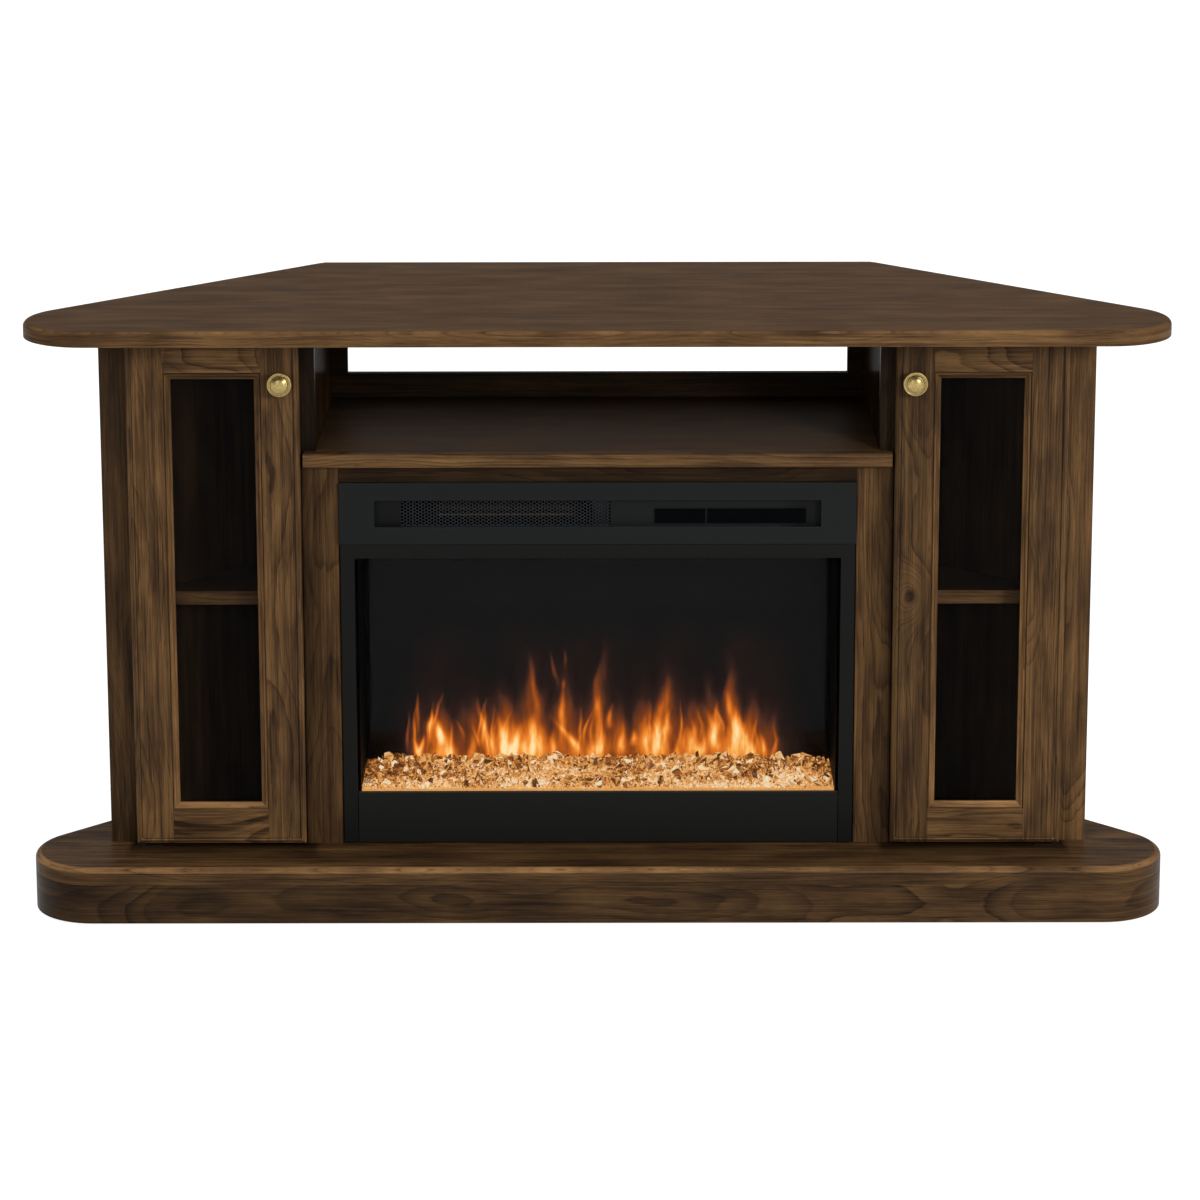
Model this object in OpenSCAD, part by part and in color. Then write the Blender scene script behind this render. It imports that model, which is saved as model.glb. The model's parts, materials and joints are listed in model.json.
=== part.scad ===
// Corner fireplace: a corner media console that holds an electric fire behind glass.
// Millimetres, +Z up, front towards -Y. The origin is on the floor below the middle of the top board.

/* [Top board] */
// Overall width across the rounded corners
top_w = 1425; // [1415:5:1450]
// Depth from front edge to back edge
top_d = 456; // [454:1:480]
// Thickness of the top board
top_t = 20; // [18:1:24]
// Radius of the two front corners in plan
top_r = 83; // [70:1:90]
// Height of the whole stand
total_h = 772; // [764:1:790]

/* [Base] */
// Overall width of the hearth-like base
base_w = 1442; // [1430:2:1460]
// How far the base front sits behind the top's front edge
base_setback = 21; // [15:1:30]
// Radius of the base's front corners in plan
base_r = 81; // [70:1:90]
// Height of the base from the floor to its upper face
base_h = 75; // [70:1:80]
// Thickness of the base board above the skirt
base_board_t = 22; // [18:1:25]

/* [Cabinet] */
// How far the cabinet face sits behind the top's front edge
face_setback = 127; // [120:1:130]
// Width of the cabinet face
cab_w = 1254; // [1240:2:1260]
// Clear width between the two inner walls
bay_w = 712; // [708:1:716]
// Height of the header board between the insert and the media shelf
header_h = 21; // [15:0.5:26]
// Thickness of the cabinet boards
board_t = 18; // [16:1:18]
// Depth of the cabinet from face to back edges
cab_d = 320; // [315:1:322]

/* [Doors] */
// Width of one door
door_w = 217.5; // [215:0.5:218]
// Thickness of a door
door_t = 18; // [17:0.5:19]
// Gap between a closed door's back and the cabinet face
door_gap = 2; // [2:0.1:2.4]
// Width of the door stiles
stile_w = 47.5; // [44:0.5:50]
// Cabinet face left bare outside each door
side_reveal = 35; // [34:0.5:36]
// Width of the moulded bead around the glass
bead_w = 9; // [8:0.5:10]
// How far the knob centres sit below the doors' upper edges
knob_drop = 62; // [58:1:90]

/* [Fire] */
// Width of the insert's front
fire_w = 654; // [650:1:656]
// Height of the insert's front
fire_h = 475.5; // [470:0.5:477]
// Height of the vent panel above the window
vent_h = 80; // [76:1:84]
// Depth of the steel firebox
box_d = 203; // [195:1:210]
// Width of the frame strips beside the window
strip_w = 19; // [17:0.5:21]
// Height of the window's visible glass
window_h = 309; // [300:1:312]

/* [Hidden] */

$fn = 64;
eps = 0.01;
diag = sqrt(2);
corner_k = 1 / tan(22.5) - 1;          // extra half width at a sharp 45 degree corner, per unit of radius
walnut = [0.36, 0.26, 0.18];
walnut_dark = [0.28, 0.20, 0.14];
black_steel = [0.12, 0.125, 0.13];
brass_tone = [0.78, 0.66, 0.38];
steel_tone = [0.70, 0.71, 0.72];

front_y = -top_d / 2;                  // front edge of the top board
top_z = total_h - top_t;               // underside of the top board
top_ease = 7;                          // round-over on the top board's edge
base_ease = 8;                         // round-over on the base board's edge
base_y = front_y + base_setback;
glide_h = 2;
glide_r = 12;
glide_front = 45;                      // glide rows behind the base's front
glide_back = 250;
skirt_top = base_h - base_board_t;

face_y = front_y + face_setback;       // face plane of the cabinet
frame_y = face_y + board_t;            // back of the face frame
back_y = face_y + cab_d;               // rear edges of the inner walls
back_t = 5;                            // hardboard back
base_d = back_y + back_t - base_y;     // depth of the base
cab_x = cab_w / 2;
wall_in = bay_w / 2;
wall_out = wall_in + board_t;
inner_lap = 26;                        // inner stile's reach past the wall, into the tower
outer_stile_w = 60;
inner_stile_x = wall_out + inner_lap;
outer_stile_x = cab_x - outer_stile_w;
part_gap = 0.2;                        // joint between two pieces of one set
tower_rail_h = 38;
side_sum = cab_x + face_y;             // x + y on the outer face of a 45 degree side panel

door_back = face_y - door_gap;
door_front = door_back - door_t;
door_x1 = cab_x - side_reveal;
door_x0 = door_x1 - door_w;
door_z0 = base_h + 3;
door_z1 = top_z - 4;
door_bevel_w = 5;
door_bevel_d = 4;
bottom_rail_h = 46;
top_rail_h = 51;
pane_x0 = door_x0 + stile_w;
pane_x1 = door_x1 - stile_w;
pane_z0 = door_z0 + bottom_rail_h;
pane_z1 = door_z1 - top_rail_h;
door_glass_v = door_t / 2;             // depth of the glass's front face behind the door's face
door_glass_t = 3;
pivot_x = door_x1 - 6;
pivot_y = door_back - 12;
pivot_r = 2.5;
pivot_play = 0.05;
bush_r = 4;
bush_l = 14;
plate_t = 1.5;
knob_x = door_x0 + 22.5;
knob_z = door_z1 - knob_drop;
catch_x = wall_out + inner_lap / 2;
catch_z = (door_z0 + door_z1) / 2;
magnet_r = 5;
bumper_t = door_gap - 0.5;

nosing_x = door_x0 - 3.5;
nosing_t = door_gap + door_t;          // the nosing's front is flush with the door fronts
trim_x = door_x0 - 1;
trim_t = 8;
fire_gap = 0.5;                        // around the insert in its opening
fire_x = fire_w / 2;
fire_z0 = base_h + 2;
fire_z1 = fire_z0 + fire_h;
shelf_bottom = fire_z1 + fire_gap + header_h;
shelf_z = shelf_bottom + board_t;      // upper face of the media shelf
vent_z0 = fire_z1 - vent_h;
fire_front = face_y - 12;              // front plane of the window frame
vent_front = fire_front - 1;           // the vent panel stands a little proud of it
panel_t = 2;
panel_gap = 0.4;                       // half the joint between the vent panel and the window frame
frame_x = fire_x - 1.3;                // half width of the window frame
window_x = fire_x - strip_w;
window_z1 = vent_z0 - 18;
window_z0 = window_z1 - window_h;
shell_x = fire_x - 21;
shell_t = 1.5;
shell_in = shell_x - shell_t;
shell_z0 = base_h;
shell_z1 = fire_z1 - 3.5;
shell_back = face_y + box_d;
bay_z = vent_z0 - 1;                   // floor of the heater bay
slot_x = fire_x - 45;                  // half width of the vent slot
slot_z0 = vent_z0 + 22.5;
slot_z1 = vent_z0 + 57.5;
slot_plate_t = 1.5;                    // plate at the bottom of the slot
mesh_x0 = -slot_x + 33;
mesh_w = 266;
mesh_x1 = mesh_x0 + mesh_w;
mesh_t = 1.2;
mesh_lap = 3;
display_w = 191;
display_x1 = slot_x - 18.5;
display_x0 = display_x1 - display_w;
display_split = display_x0 + 65;
display_t = 3;
glass_t = 4;
glass_y = face_y - glass_t;            // front face of the fire's glass
screen_y = face_y + 116;               // flame screen behind the embers
screen_t = 3;
tray_z = window_z0 - 16;
tray_t = 3;
bed_h = 14;                            // packed depth of the crystals below the loose top ones
crystal = 16;
crystal_pitch = 19;
blower_y = face_y + 72;
blower_z = (bay_z + shell_z1) / 2;
blower_r = 24;
blower_x0 = mesh_x0 + 24;
blower_x1 = mesh_x1 - 29;
shaft_r = 3;
flicker_y = screen_y + 34;
flicker_z = window_z0 - 32;
flicker_x = shell_x - 26;
vane_r = 15;
vanes = 24;
vane_pitch = 22;
vent_hole_pitch = 30;
vent_hole_reach = 150;
motor_r = 22;
motor_l = 30;
motor_foot = 20;
lamp_pitch = 30;
lamp_w = 6;
board_post_x = 240;                    // outer posts of the light board
coil_pitch = 8;
coil_r = 3.6;
coil_core_r = 1.5;
coil_rows = 9;
inlet_x = shell_x - 66;
inlet_z = base_h + 40;
inlet_r = 8;

// ---- shared shapes ----

module box(lo, hi) {
  translate(lo) cube(hi - lo);
}

module both_sides() {
  children();
  mirror([1, 0, 0]) children();
}

module on_side(side) {
  mirror([side < 0 ? 1 : 0, 0, 0]) children();
}

// Plan outline: straight front on y = 0, round front corners, 45 degree sides, straight back.
module plan(w, d, r) {
  cx = w / 2 - r;
  tangent = [cx + r / diag, r + r / diag];
  back_x = w / 2 + r * corner_k - d;
  polygon([[-cx, 0], [cx, 0], tangent, [back_x, d], [-back_x, d], [-tangent[0], tangent[1]]]);
  for (s = [-1, 1]) translate([s * cx, r]) circle(r);
}

// Quarter disc that rounds an upper outer edge over.
module quarter(r) {
  intersection() {
    circle(r);
    square(r);
  }
}

// A rounded-over edge that runs along +X with its outer face on y = 0.
module edge_round(length, ease) {
  translate([0, ease, 0]) rotate([90, 0, 90]) linear_extrude(length) mirror([1, 0]) quarter(ease);
}

// A board of the plan outline whose front, corners and sides are rounded over.
module eased_board(w, d, r, t, ease) {
  cx = w / 2 - r;
  tangent = [cx + r / diag, r + r / diag, 0];
  over = 1;                              // cut off again at the back
  side_run = (d + over - tangent[1]) * diag;
  difference() {
    union() {
      linear_extrude(t - ease) plan(w, d + over, r);
      translate([0, 0, t - ease]) {
        translate([0, ease, 0]) linear_extrude(ease) plan(w - 2 * ease, d + over - ease, r - ease);
        translate([-cx, 0, 0]) edge_round(2 * cx, ease);
        both_sides() {
          translate(tangent) rotate(135) edge_round(side_run, ease);
          translate([cx, r, 0]) rotate(-90) rotate_extrude(angle = 135) translate([r - ease, 0]) quarter(ease);
        }
      }
    }
    translate([-w, d, -1]) cube([2 * w, d, t + 2]);
  }
}

// Closed frame in the XZ plane with mitred corners; the 2D child gives its section as [inwards, depth].
module mitred_frame(w, h, face_w) {
  corners = [[0, 0], [w, 0], [w, h], [0, h]];
  for (k = [0:3]) {
    run = k % 2 == 0 ? w : h;
    translate([corners[k][0], 0, corners[k][1]]) rotate([0, -90 * k, 0]) intersection() {
      rotate([90, 0, 90]) linear_extrude(run) mirror([1, -1]) children();
      rotate([90, 0, 0]) translate([0, 0, -40]) linear_extrude(80)
        polygon([[0, 0], [run, 0], [run - face_w, face_w], [face_w, face_w]]);
    }
  }
}

// ---- top and base ----

module top_board() {
  color(walnut) translate([0, front_y, top_z]) eased_board(top_w, top_d, top_r, top_t, top_ease);
}

module base_board() {
  color(walnut) translate([0, base_y, skirt_top])
    eased_board(base_w, base_d, base_r, base_board_t, base_ease);
}

skirt_t = board_t;
skirt_split = base_r * 2;              // where the bent front skirt ends and the straight sides begin

module skirt_ring() {
  difference() {
    plan(base_w, base_d, base_r);
    translate([0, skirt_t]) plan(base_w - 2 * skirt_t, base_d - 2 * skirt_t, base_r - skirt_t);
  }
}

module base_front_skirt() {
  color(walnut) translate([0, base_y, glide_h]) linear_extrude(skirt_top - glide_h) intersection() {
    skirt_ring();
    translate([-base_w, -1]) square([2 * base_w, skirt_split + 1]);
  }
}

module base_side_skirts() {
  color(walnut) translate([0, base_y, glide_h]) linear_extrude(skirt_top - glide_h) intersection() {
    skirt_ring();
    translate([-base_w, skirt_split + part_gap])
      square([2 * base_w, base_d - skirt_t - skirt_split - 2 * part_gap]);
  }
}

rib_inset = 291;                       // outer ribs inside the base's widest point
rib_x = [for (k = [-1, -1 / 3, 1 / 3, 1]) k * (base_w / 2 - rib_inset)];

module base_ribs() {
  sharp_x = base_w / 2 + base_r * corner_k;
  color(walnut_dark) {
    for (x = rib_x) {
      reach = min(base_d - skirt_t, sharp_x - abs(x) - 2 * skirt_t) - 1;
      box([x - board_t / 2, base_y + skirt_t, glide_h], [x + board_t / 2, base_y + reach, skirt_top]);
    }
    translate([0, base_y, glide_h]) linear_extrude(skirt_top - glide_h) intersection() {
      skirt_ring();
      translate([-base_w, base_d - skirt_t]) square([2 * base_w, skirt_t + 1]);
    }
  }
}

module floor_glides() {
  color("gray") for (x = rib_x, y = [base_y + glide_front, base_y + glide_back])
    translate([x, y, 0]) cylinder(r = glide_r, h = glide_h);
}

// ---- cabinet ----

module outer_stiles() {
  color(walnut) both_sides() translate([0, 0, base_h]) linear_extrude(top_z - base_h)
    polygon([[outer_stile_x, face_y], [cab_x, face_y], [cab_x - board_t, frame_y], [outer_stile_x, frame_y]]);
}

module inner_stiles() {
  color(walnut) both_sides() difference() {
    box([wall_in, face_y, base_h], [inner_stile_x, frame_y, top_z]);
    translate([catch_x, face_y - eps, catch_z]) rotate([-90, 0, 0]) cylinder(r = magnet_r, h = 8 + eps);
  }
}

module tower_rails() {
  color(walnut) both_sides() for (z = [base_h, top_z - tower_rail_h])
    box([inner_stile_x, face_y, z], [outer_stile_x, frame_y, z + tower_rail_h]);
}

pin_r = 2.5;
pin_depth = 8;
pin_reach = 9;
tower_shelf_z = 403;
tower_shelf_sum = side_sum - board_t * diag;      // x + y on the inner face of a side panel
pin_z = tower_shelf_z - board_t - pin_r;

// Places one child at each shelf pin: two in the inner wall and two in the side panel, pointing into the tower.
module at_pins() {
  for (y = [frame_y + 40, frame_y + 150])
    translate([wall_out, y, pin_z]) rotate([0, 90, 0]) children();
  for (x = [wall_out + 60, wall_out + 150])
    translate([x, tower_shelf_sum - x, pin_z]) rotate([0, 90, 225]) children();
}

module side_panels() {
  color(walnut) both_sides() difference() {
    translate([0, 0, base_h]) linear_extrude(top_z - base_h)
      polygon([[cab_x - board_t, frame_y], [cab_x - board_t - board_t * diag, frame_y],
        [wall_out, tower_shelf_sum - wall_out], [wall_out, side_sum - wall_out]]);
    at_pins() translate([0, 0, -pin_depth]) cylinder(r = pin_r, h = pin_depth + 1);
  }
}

module inner_walls() {
  color(walnut) both_sides() difference() {
    box([wall_in, frame_y, base_h], [wall_out, back_y, top_z]);
    at_pins() translate([0, 0, -pin_depth]) cylinder(r = pin_r, h = pin_depth + 1);
    at_back_screws() translate([0, -screw_l, 0]) rotate([-90, 0, 0]) cylinder(r = screw_r, h = screw_l + 1);
  }
}

module tower_shelves() {
  gap = 1;
  y0 = frame_y + 3;
  reach = tower_shelf_sum - gap * diag;
  tip = 12;
  color(walnut) both_sides() translate([0, 0, tower_shelf_z - board_t]) linear_extrude(board_t)
    polygon([[wall_out + gap, y0], [reach - y0 - tip, y0], [reach - y0 - tip, y0 + tip],
      [wall_out + gap, reach - wall_out - gap]]);
}

module shelf_pins() {
  color(steel_tone) both_sides() at_pins()
    translate([0, 0, -pin_depth]) cylinder(r = pin_r, h = pin_depth + pin_reach);
}

module media_shelf() {
  color(walnut) box([-wall_in, face_y, shelf_bottom], [wall_in, back_y, shelf_z]);
}

module shelf_nosing() {
  ease = 1.5;
  color(walnut) translate([-nosing_x, face_y - nosing_t, shelf_bottom]) rotate([90, 0, 90])
    linear_extrude(2 * nosing_x) polygon([[ease, 0], [nosing_t, 0], [nosing_t, board_t], [ease, board_t],
      [0, board_t - ease], [0, ease]]);
}

module support_cleats() {
  cleat = 18;
  color(walnut_dark) both_sides() {
    box([wall_in - cleat, frame_y + 5, shelf_bottom - cleat], [wall_in, back_y - 10, shelf_bottom]);
    box([wall_out, frame_y + 20, top_z - cleat], [wall_out + cleat, frame_y + 170, top_z]);
  }
}

frame_t = 12;
post_w = 22;
lower_rail_h = 33;

module compartment_back() {
  color(walnut_dark) difference() {
    box([-wall_in, back_y - frame_t, shelf_z], [wall_in, back_y, top_z]);
    box([-wall_in + post_w, back_y - frame_t - 1, shelf_z + lower_rail_h],
      [wall_in - post_w, back_y + 1, top_z - lower_rail_h]);
  }
}

screw_r = 1.6;
screw_l = 14;
screw_head_r = 4;
screw_head_h = 1.8;
screw_edge = 30;                       // first screw above the base
screw_pitch = 85;
back_x = wall_out - 2;
back_z1 = shelf_z - 2;
cable_hole_r = 30;
air_slot_w = 10;
air_slot_h = 110;
air_slot_pitch = 30;
air_slot_reach = 165;                  // outermost slots

module at_back_screws() {
  for (z = [base_h + screw_edge : screw_pitch : back_z1 - screw_edge / 2])
    translate([wall_in + board_t / 2, back_y, z]) children();
}

module lower_back() {
  color(walnut_dark) difference() {
    box([-back_x, back_y, base_h], [back_x, back_y + back_t, back_z1]);
    both_sides() at_back_screws() translate([0, -1, 0]) rotate([-90, 0, 0])
      cylinder(r = screw_r, h = back_t + 2);
    for (x = [-air_slot_reach : air_slot_pitch : air_slot_reach])
      translate([x - air_slot_w / 2, back_y - 1, bay_z - air_slot_h / 2])
        cube([air_slot_w, back_t + 2, air_slot_h]);
    translate([inlet_x, back_y - 1, inlet_z]) rotate([-90, 0, 0]) cylinder(r = cable_hole_r, h = back_t + 2);
  }
}

module back_screws() {
  color(steel_tone) both_sides() at_back_screws() rotate([-90, 0, 0]) {
    translate([0, 0, -screw_l]) cylinder(r = screw_r, h = screw_l + back_t);
    translate([0, 0, back_t]) cylinder(r = screw_head_r, h = screw_head_h);
  }
}

module surround_trim() {
  open_x = fire_x + fire_gap;
  color(walnut) {
    both_sides() box([open_x, face_y - trim_t, base_h], [trim_x, face_y, shelf_bottom]);
    box([-open_x + part_gap, face_y - trim_t, fire_z1 + fire_gap],
      [open_x - part_gap, face_y, shelf_bottom]);
  }
}

// Blocking behind the trim: a post each side of the firebox and a rail under the media shelf.
module surround_frame() {
  rail_h = 22;
  color(walnut_dark) {
    both_sides() box([shell_x + 3, face_y, base_h], [wall_in, frame_y, shelf_bottom - rail_h - part_gap]);
    box([-wall_in, face_y, shelf_bottom - rail_h], [wall_in, frame_y, shelf_bottom]);
  }
}

// ---- doors ----

module door_slab() {
  intersection() {
    translate([0, 0, door_z0]) linear_extrude(door_z1 - door_z0)
      polygon([[door_x0, door_back], [door_x0, door_front + door_bevel_d],
        [door_x0 + door_bevel_w, door_front], [door_x1 - door_bevel_w, door_front],
        [door_x1, door_front + door_bevel_d], [door_x1, door_back]]);
    translate([door_x0, 0, 0]) rotate([90, 0, 90]) linear_extrude(door_w)
      polygon([[door_back, door_z0], [door_front + door_bevel_d, door_z0],
        [door_front, door_z0 + door_bevel_w], [door_front, door_z1 - door_bevel_w],
        [door_front + door_bevel_d, door_z1], [door_back, door_z1]]);
  }
}

knob_r = 15.5;
knob_reach = 24;
knob_bore = 2;
head_r = 4;
head_h = 2.5;

module at_pivots() {
  translate([pivot_x, pivot_y, door_z0]) children();
  translate([pivot_x, pivot_y, door_z1]) mirror([0, 0, 1]) children();
}

module at_knob() {
  translate([knob_x, door_front, knob_z]) rotate([90, 0, 0]) children();
}

module door_stiles(side) {
  color(walnut) on_side(side) difference() {
    intersection() {
      door_slab();
      for (x = [door_x0, pane_x1]) translate([x, door_front - 1, door_z0 - 1])
        cube([stile_w, door_t + 2, door_z1 - door_z0 + 2]);
    }
    at_pivots() translate([0, 0, -1]) cylinder(r = bush_r, h = bush_l + 1);
    at_knob() translate([0, 0, -door_t - 1]) {
      cylinder(r = knob_bore, h = door_t + 2);
      cylinder(r = head_r, h = head_h + 1);
    }
  }
}

module door_rails(side) {
  color(walnut) on_side(side) intersection() {
    door_slab();
    for (z = [[door_z0, pane_z0], [pane_z1, door_z1]])
      box([pane_x0, door_front - 1, z[0]], [pane_x1, door_back + 1, z[1]]);
  }
}

module door_bead(side) {
  color(walnut) on_side(side) translate([pane_x0, door_front, pane_z0])
    mitred_frame(pane_x1 - pane_x0, pane_z1 - pane_z0, bead_w)
      polygon([[0, 1], [1.2, 1], [1.2, 2], [bead_w - 1, 5.5], [bead_w, 6.5], [bead_w, door_glass_v],
        [0, door_glass_v]]);
}

module door_glass(side) {
  color([0.1, 0.1, 0.1, 0.5]) on_side(side)
    box([pane_x0 + 1, door_front + door_glass_v, pane_z0 + 1],
      [pane_x1 - 1, door_front + door_glass_v + door_glass_t, pane_z1 - 1]);
}

module door_retainer(side) {
  color(walnut_dark) on_side(side) translate([pane_x0, door_front, pane_z0])
    mitred_frame(pane_x1 - pane_x0, pane_z1 - pane_z0, 7)
      polygon([[0, door_glass_v + door_glass_t], [7, door_glass_v + door_glass_t], [7, door_t - 2],
        [5, door_t], [0, door_t]]);
}

module door_knob(side) {
  color(brass_tone) on_side(side) at_knob() difference() {
    rotate_extrude() {
      square([8, 2]);
      square([5.5, knob_reach - 5]);
      translate([0, knob_reach - 10]) polygon([[0, 0], [9, 1.5], [knob_r - 1.5, 4], [knob_r - 1.5, 6.5], [0, 6.5]]);
      translate([knob_r - 1.6, knob_reach - 4.6]) circle(1.6);
      intersection() {
        translate([0, knob_reach - 13]) circle(13);
        translate([0, knob_reach - 5]) square([knob_r, 6]);
      }
    }
    translate([0, 0, -1]) cylinder(r = knob_bore, h = 13);
  }
}

module knob_screw(side) {
  color(steel_tone) on_side(side) at_knob() translate([0, 0, -door_t]) {
    cylinder(r = knob_bore, h = door_t + 11);
    cylinder(r = head_r - 0.3, h = head_h);
  }
}

module door_bushes(side) {
  color("white") on_side(side) at_pivots() difference() {
    union() {
      cylinder(r = bush_r, h = bush_l);
      translate([0, 0, -1]) cylinder(r = 6, h = 1);
    }
    translate([0, 0, -2]) cylinder(r = pivot_r + pivot_play, h = bush_l + 1);
  }
}

module door_strike(side) {
  color(steel_tone) on_side(side) translate([catch_x, door_back, catch_z]) rotate([-90, 0, 0])
    cylinder(r = 7, h = 1.2);
}

module pivot_plates() {
  pin_l = 12;
  color(steel_tone) both_sides() for (end = [[base_h, 1, door_z0], [top_z, -1, door_z1]])
    translate([pivot_x, pivot_y, end[0]]) mirror([0, 0, end[1] < 0 ? 1 : 0]) {
      translate([-26, -7, 0]) cube([36, 16, plate_t]);
      cylinder(r = pivot_r, h = abs(end[2] - end[0]) + pin_l);
    }
}

module catch_magnets() {
  color(steel_tone) both_sides() translate([catch_x, face_y, catch_z]) rotate([-90, 0, 0])
    cylinder(r = magnet_r, h = 8);
}

module door_bumpers() {
  color("dimgray") both_sides() for (z = [base_h + 60, top_z - 60])
    translate([catch_x, face_y - bumper_t, z]) rotate([-90, 0, 0]) cylinder(r = 4, h = bumper_t);
}

module left_door_stiles() { door_stiles(-1); }
module left_door_rails() { door_rails(-1); }
module left_door_bead() { door_bead(-1); }
module left_door_glass() { door_glass(-1); }
module left_door_retainer() { door_retainer(-1); }
module left_door_knob() { door_knob(-1); }
module left_knob_screw() { knob_screw(-1); }
module left_door_bushes() { door_bushes(-1); }
module left_door_strike() { door_strike(-1); }
module right_door_stiles() { door_stiles(1); }
module right_door_rails() { door_rails(1); }
module right_door_bead() { door_bead(1); }
module right_door_glass() { door_glass(1); }
module right_door_retainer() { door_retainer(1); }
module right_door_knob() { door_knob(1); }
module right_knob_screw() { knob_screw(1); }
module right_door_bushes() { door_bushes(1); }
module right_door_strike() { door_strike(1); }

// ---- fire insert ----

module firebox_shell() {
  lug_z = shell_z0 + 200;
  color(black_steel) difference() {
    union() {
      difference() {
        box([-shell_x, face_y, shell_z0], [shell_x, shell_back, shell_z1]);
        box([-shell_in, face_y - 1, shell_z0 + shell_t], [shell_in, shell_back - shell_t, shell_z1 - shell_t]);
      }
      box([-shell_in, face_y + 2, bay_z - shell_t], [shell_in, shell_back - shell_t, bay_z]);
      both_sides() {
        box([flicker_x, flicker_y - 12, shell_z0 + shell_t], [flicker_x + shell_t, flicker_y + 12, flicker_z + 12]);
        box([shell_x, frame_y, lug_z], [shell_x + 30, frame_y + panel_t, lug_z + 40]);
      }
    }
    translate([-flicker_x - 5, flicker_y, flicker_z]) rotate([0, 90, 0])
      cylinder(r = shaft_r + pivot_play, h = 2 * flicker_x + 10);
    for (x = [-vent_hole_reach : vent_hole_pitch : vent_hole_reach])
      box([x - 4, shell_back - 3, bay_z + 15], [x + 4, shell_back + 1, shell_z1 - 15]);
    translate([inlet_x, shell_back - 3, inlet_z]) rotate([-90, 0, 0]) cylinder(r = inlet_r, h = 5);
  }
}

// Folded panel with a long slot let into it; the slot's plate is open where the warm air leaves.
module vent_panel() {
  z0 = vent_z0 + panel_gap;
  color(black_steel) difference() {
    union() {
      difference() {
        box([-fire_x, vent_front, z0], [fire_x, face_y, fire_z1]);
        box([-fire_x + panel_t, vent_front + panel_t, z0 + panel_t],
          [fire_x - panel_t, face_y + 1, fire_z1 - panel_t]);
      }
      box([-slot_x - panel_t, vent_front + 1, slot_z0 - panel_t], [slot_x + panel_t, face_y, slot_z1 + panel_t]);
    }
    box([-slot_x, vent_front - 1, slot_z0], [slot_x, face_y - slot_plate_t, slot_z1]);
    box([mesh_x0, vent_front, slot_z0], [mesh_x1, face_y + 1, slot_z1]);
  }
}

// Punched sheet behind the slot, with staggered diamond holes.
module outlet_mesh() {
  pitch_x = 6.4;
  pitch_z = 5;
  hole_r = 2.2;
  cols = floor((mesh_x1 - mesh_x0) / pitch_x);
  rows = floor((slot_z1 - slot_z0) / pitch_z);
  color("dimgray") translate([mesh_x0, face_y + mesh_t, slot_z0]) rotate([90, 0, 0])
    linear_extrude(mesh_t) difference() {
      translate([-mesh_lap, -1.5]) square([mesh_x1 - mesh_x0 + 2 * mesh_lap, slot_z1 - slot_z0 + 3]);
      for (j = [0 : rows - 1], i = [0 : cols - 1 - j % 2])
        translate([(i + 0.5 + j % 2 / 2) * pitch_x, (j + 0.5) * pitch_z]) circle(hole_r, $fn = 4);
    }
}

module display_window() {
  y1 = face_y - slot_plate_t;
  z0 = slot_z0 + 3.5;
  z1 = z0 + 18;
  color([0.02, 0.02, 0.02]) {
    box([display_x0, y1 - display_t, z0], [display_split - 0.5, y1, z1]);
    box([display_split + 0.5, y1 - display_t, z0], [display_x1, y1, z1]);
  }
}

module window_frame() {
  top = vent_z0 - panel_gap;
  y1 = fire_front + panel_t;
  color(black_steel) {
    both_sides() {
      box([window_x, fire_front, fire_z0], [frame_x, y1, top]);
      box([frame_x - panel_t, y1 - eps, fire_z0], [frame_x, face_y, top]);
      box([window_x, y1 - eps, fire_z0], [window_x + panel_t, glass_y, top]);
    }
    box([-window_x - eps, fire_front, window_z1], [window_x + eps, y1, top]);
    box([-window_x - eps, y1 - eps, window_z1], [window_x + eps, glass_y, window_z1 + panel_t]);
    box([-frame_x, y1 - eps, top - panel_t], [frame_x, face_y, top]);
  }
}

module lower_panel() {
  y0 = fire_front + 1;
  x1 = window_x - 0.5;
  top = window_z0 - 1.3;
  color(black_steel) {
    box([-x1, y0, fire_z0], [x1, y0 + panel_t, top]);
    box([-x1, y0 + panel_t - eps, top - panel_t], [x1, glass_y - 0.5, top]);
    box([-x1, y0 + panel_t - eps, fire_z0], [x1, face_y, fire_z0 + panel_t]);
  }
}

module front_glass() {
  lap = 8;
  color([0.05, 0.05, 0.05, 0.4])
    box([-window_x - lap, glass_y, window_z0 - lap], [window_x + lap, face_y, window_z1 + lap]);
}

module flame_screen() {
  color([0.1, 0.1, 0.1, 0.5])
    box([-shell_in + 0.5, screen_y, tray_z], [shell_in - 0.5, screen_y + screen_t, bay_z - shell_t]);
}

module ember_tray() {
  color("lightgray")
    box([-shell_in, face_y + 2, tray_z - tray_t], [shell_in, screen_y + screen_t + 2, tray_z]);
}

// A packed bed of glass crystals whose top layer lies loose, each one turned its own way.
module ember_crystals() {
  rows = floor((screen_y - face_y - 6) / crystal_pitch);
  cols = floor((2 * shell_in - 6) / crystal_pitch);
  turns = rands(0, 360, rows * cols * 3, 7);
  color([1, 0.75, 0.45]) {
    box([-shell_in + 1, face_y + 3, tray_z], [shell_in - 1, screen_y - 1, tray_z + bed_h]);
    for (i = [0 : cols - 1], j = [0 : rows - 1]) {
      k = 3 * (j * cols + i);
      size = crystal * (0.9 + 0.15 * sin(turns[k]));
      translate([(i - (cols - 1) / 2) * crystal_pitch,
        (face_y + screen_y) / 2 + (j - (rows - 1) / 2) * crystal_pitch, tray_z + bed_h])
        rotate([turns[k], turns[k + 1], turns[k + 2]]) cube([size, size * 0.8, size * 0.65], center = true);
    }
  }
}

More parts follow.
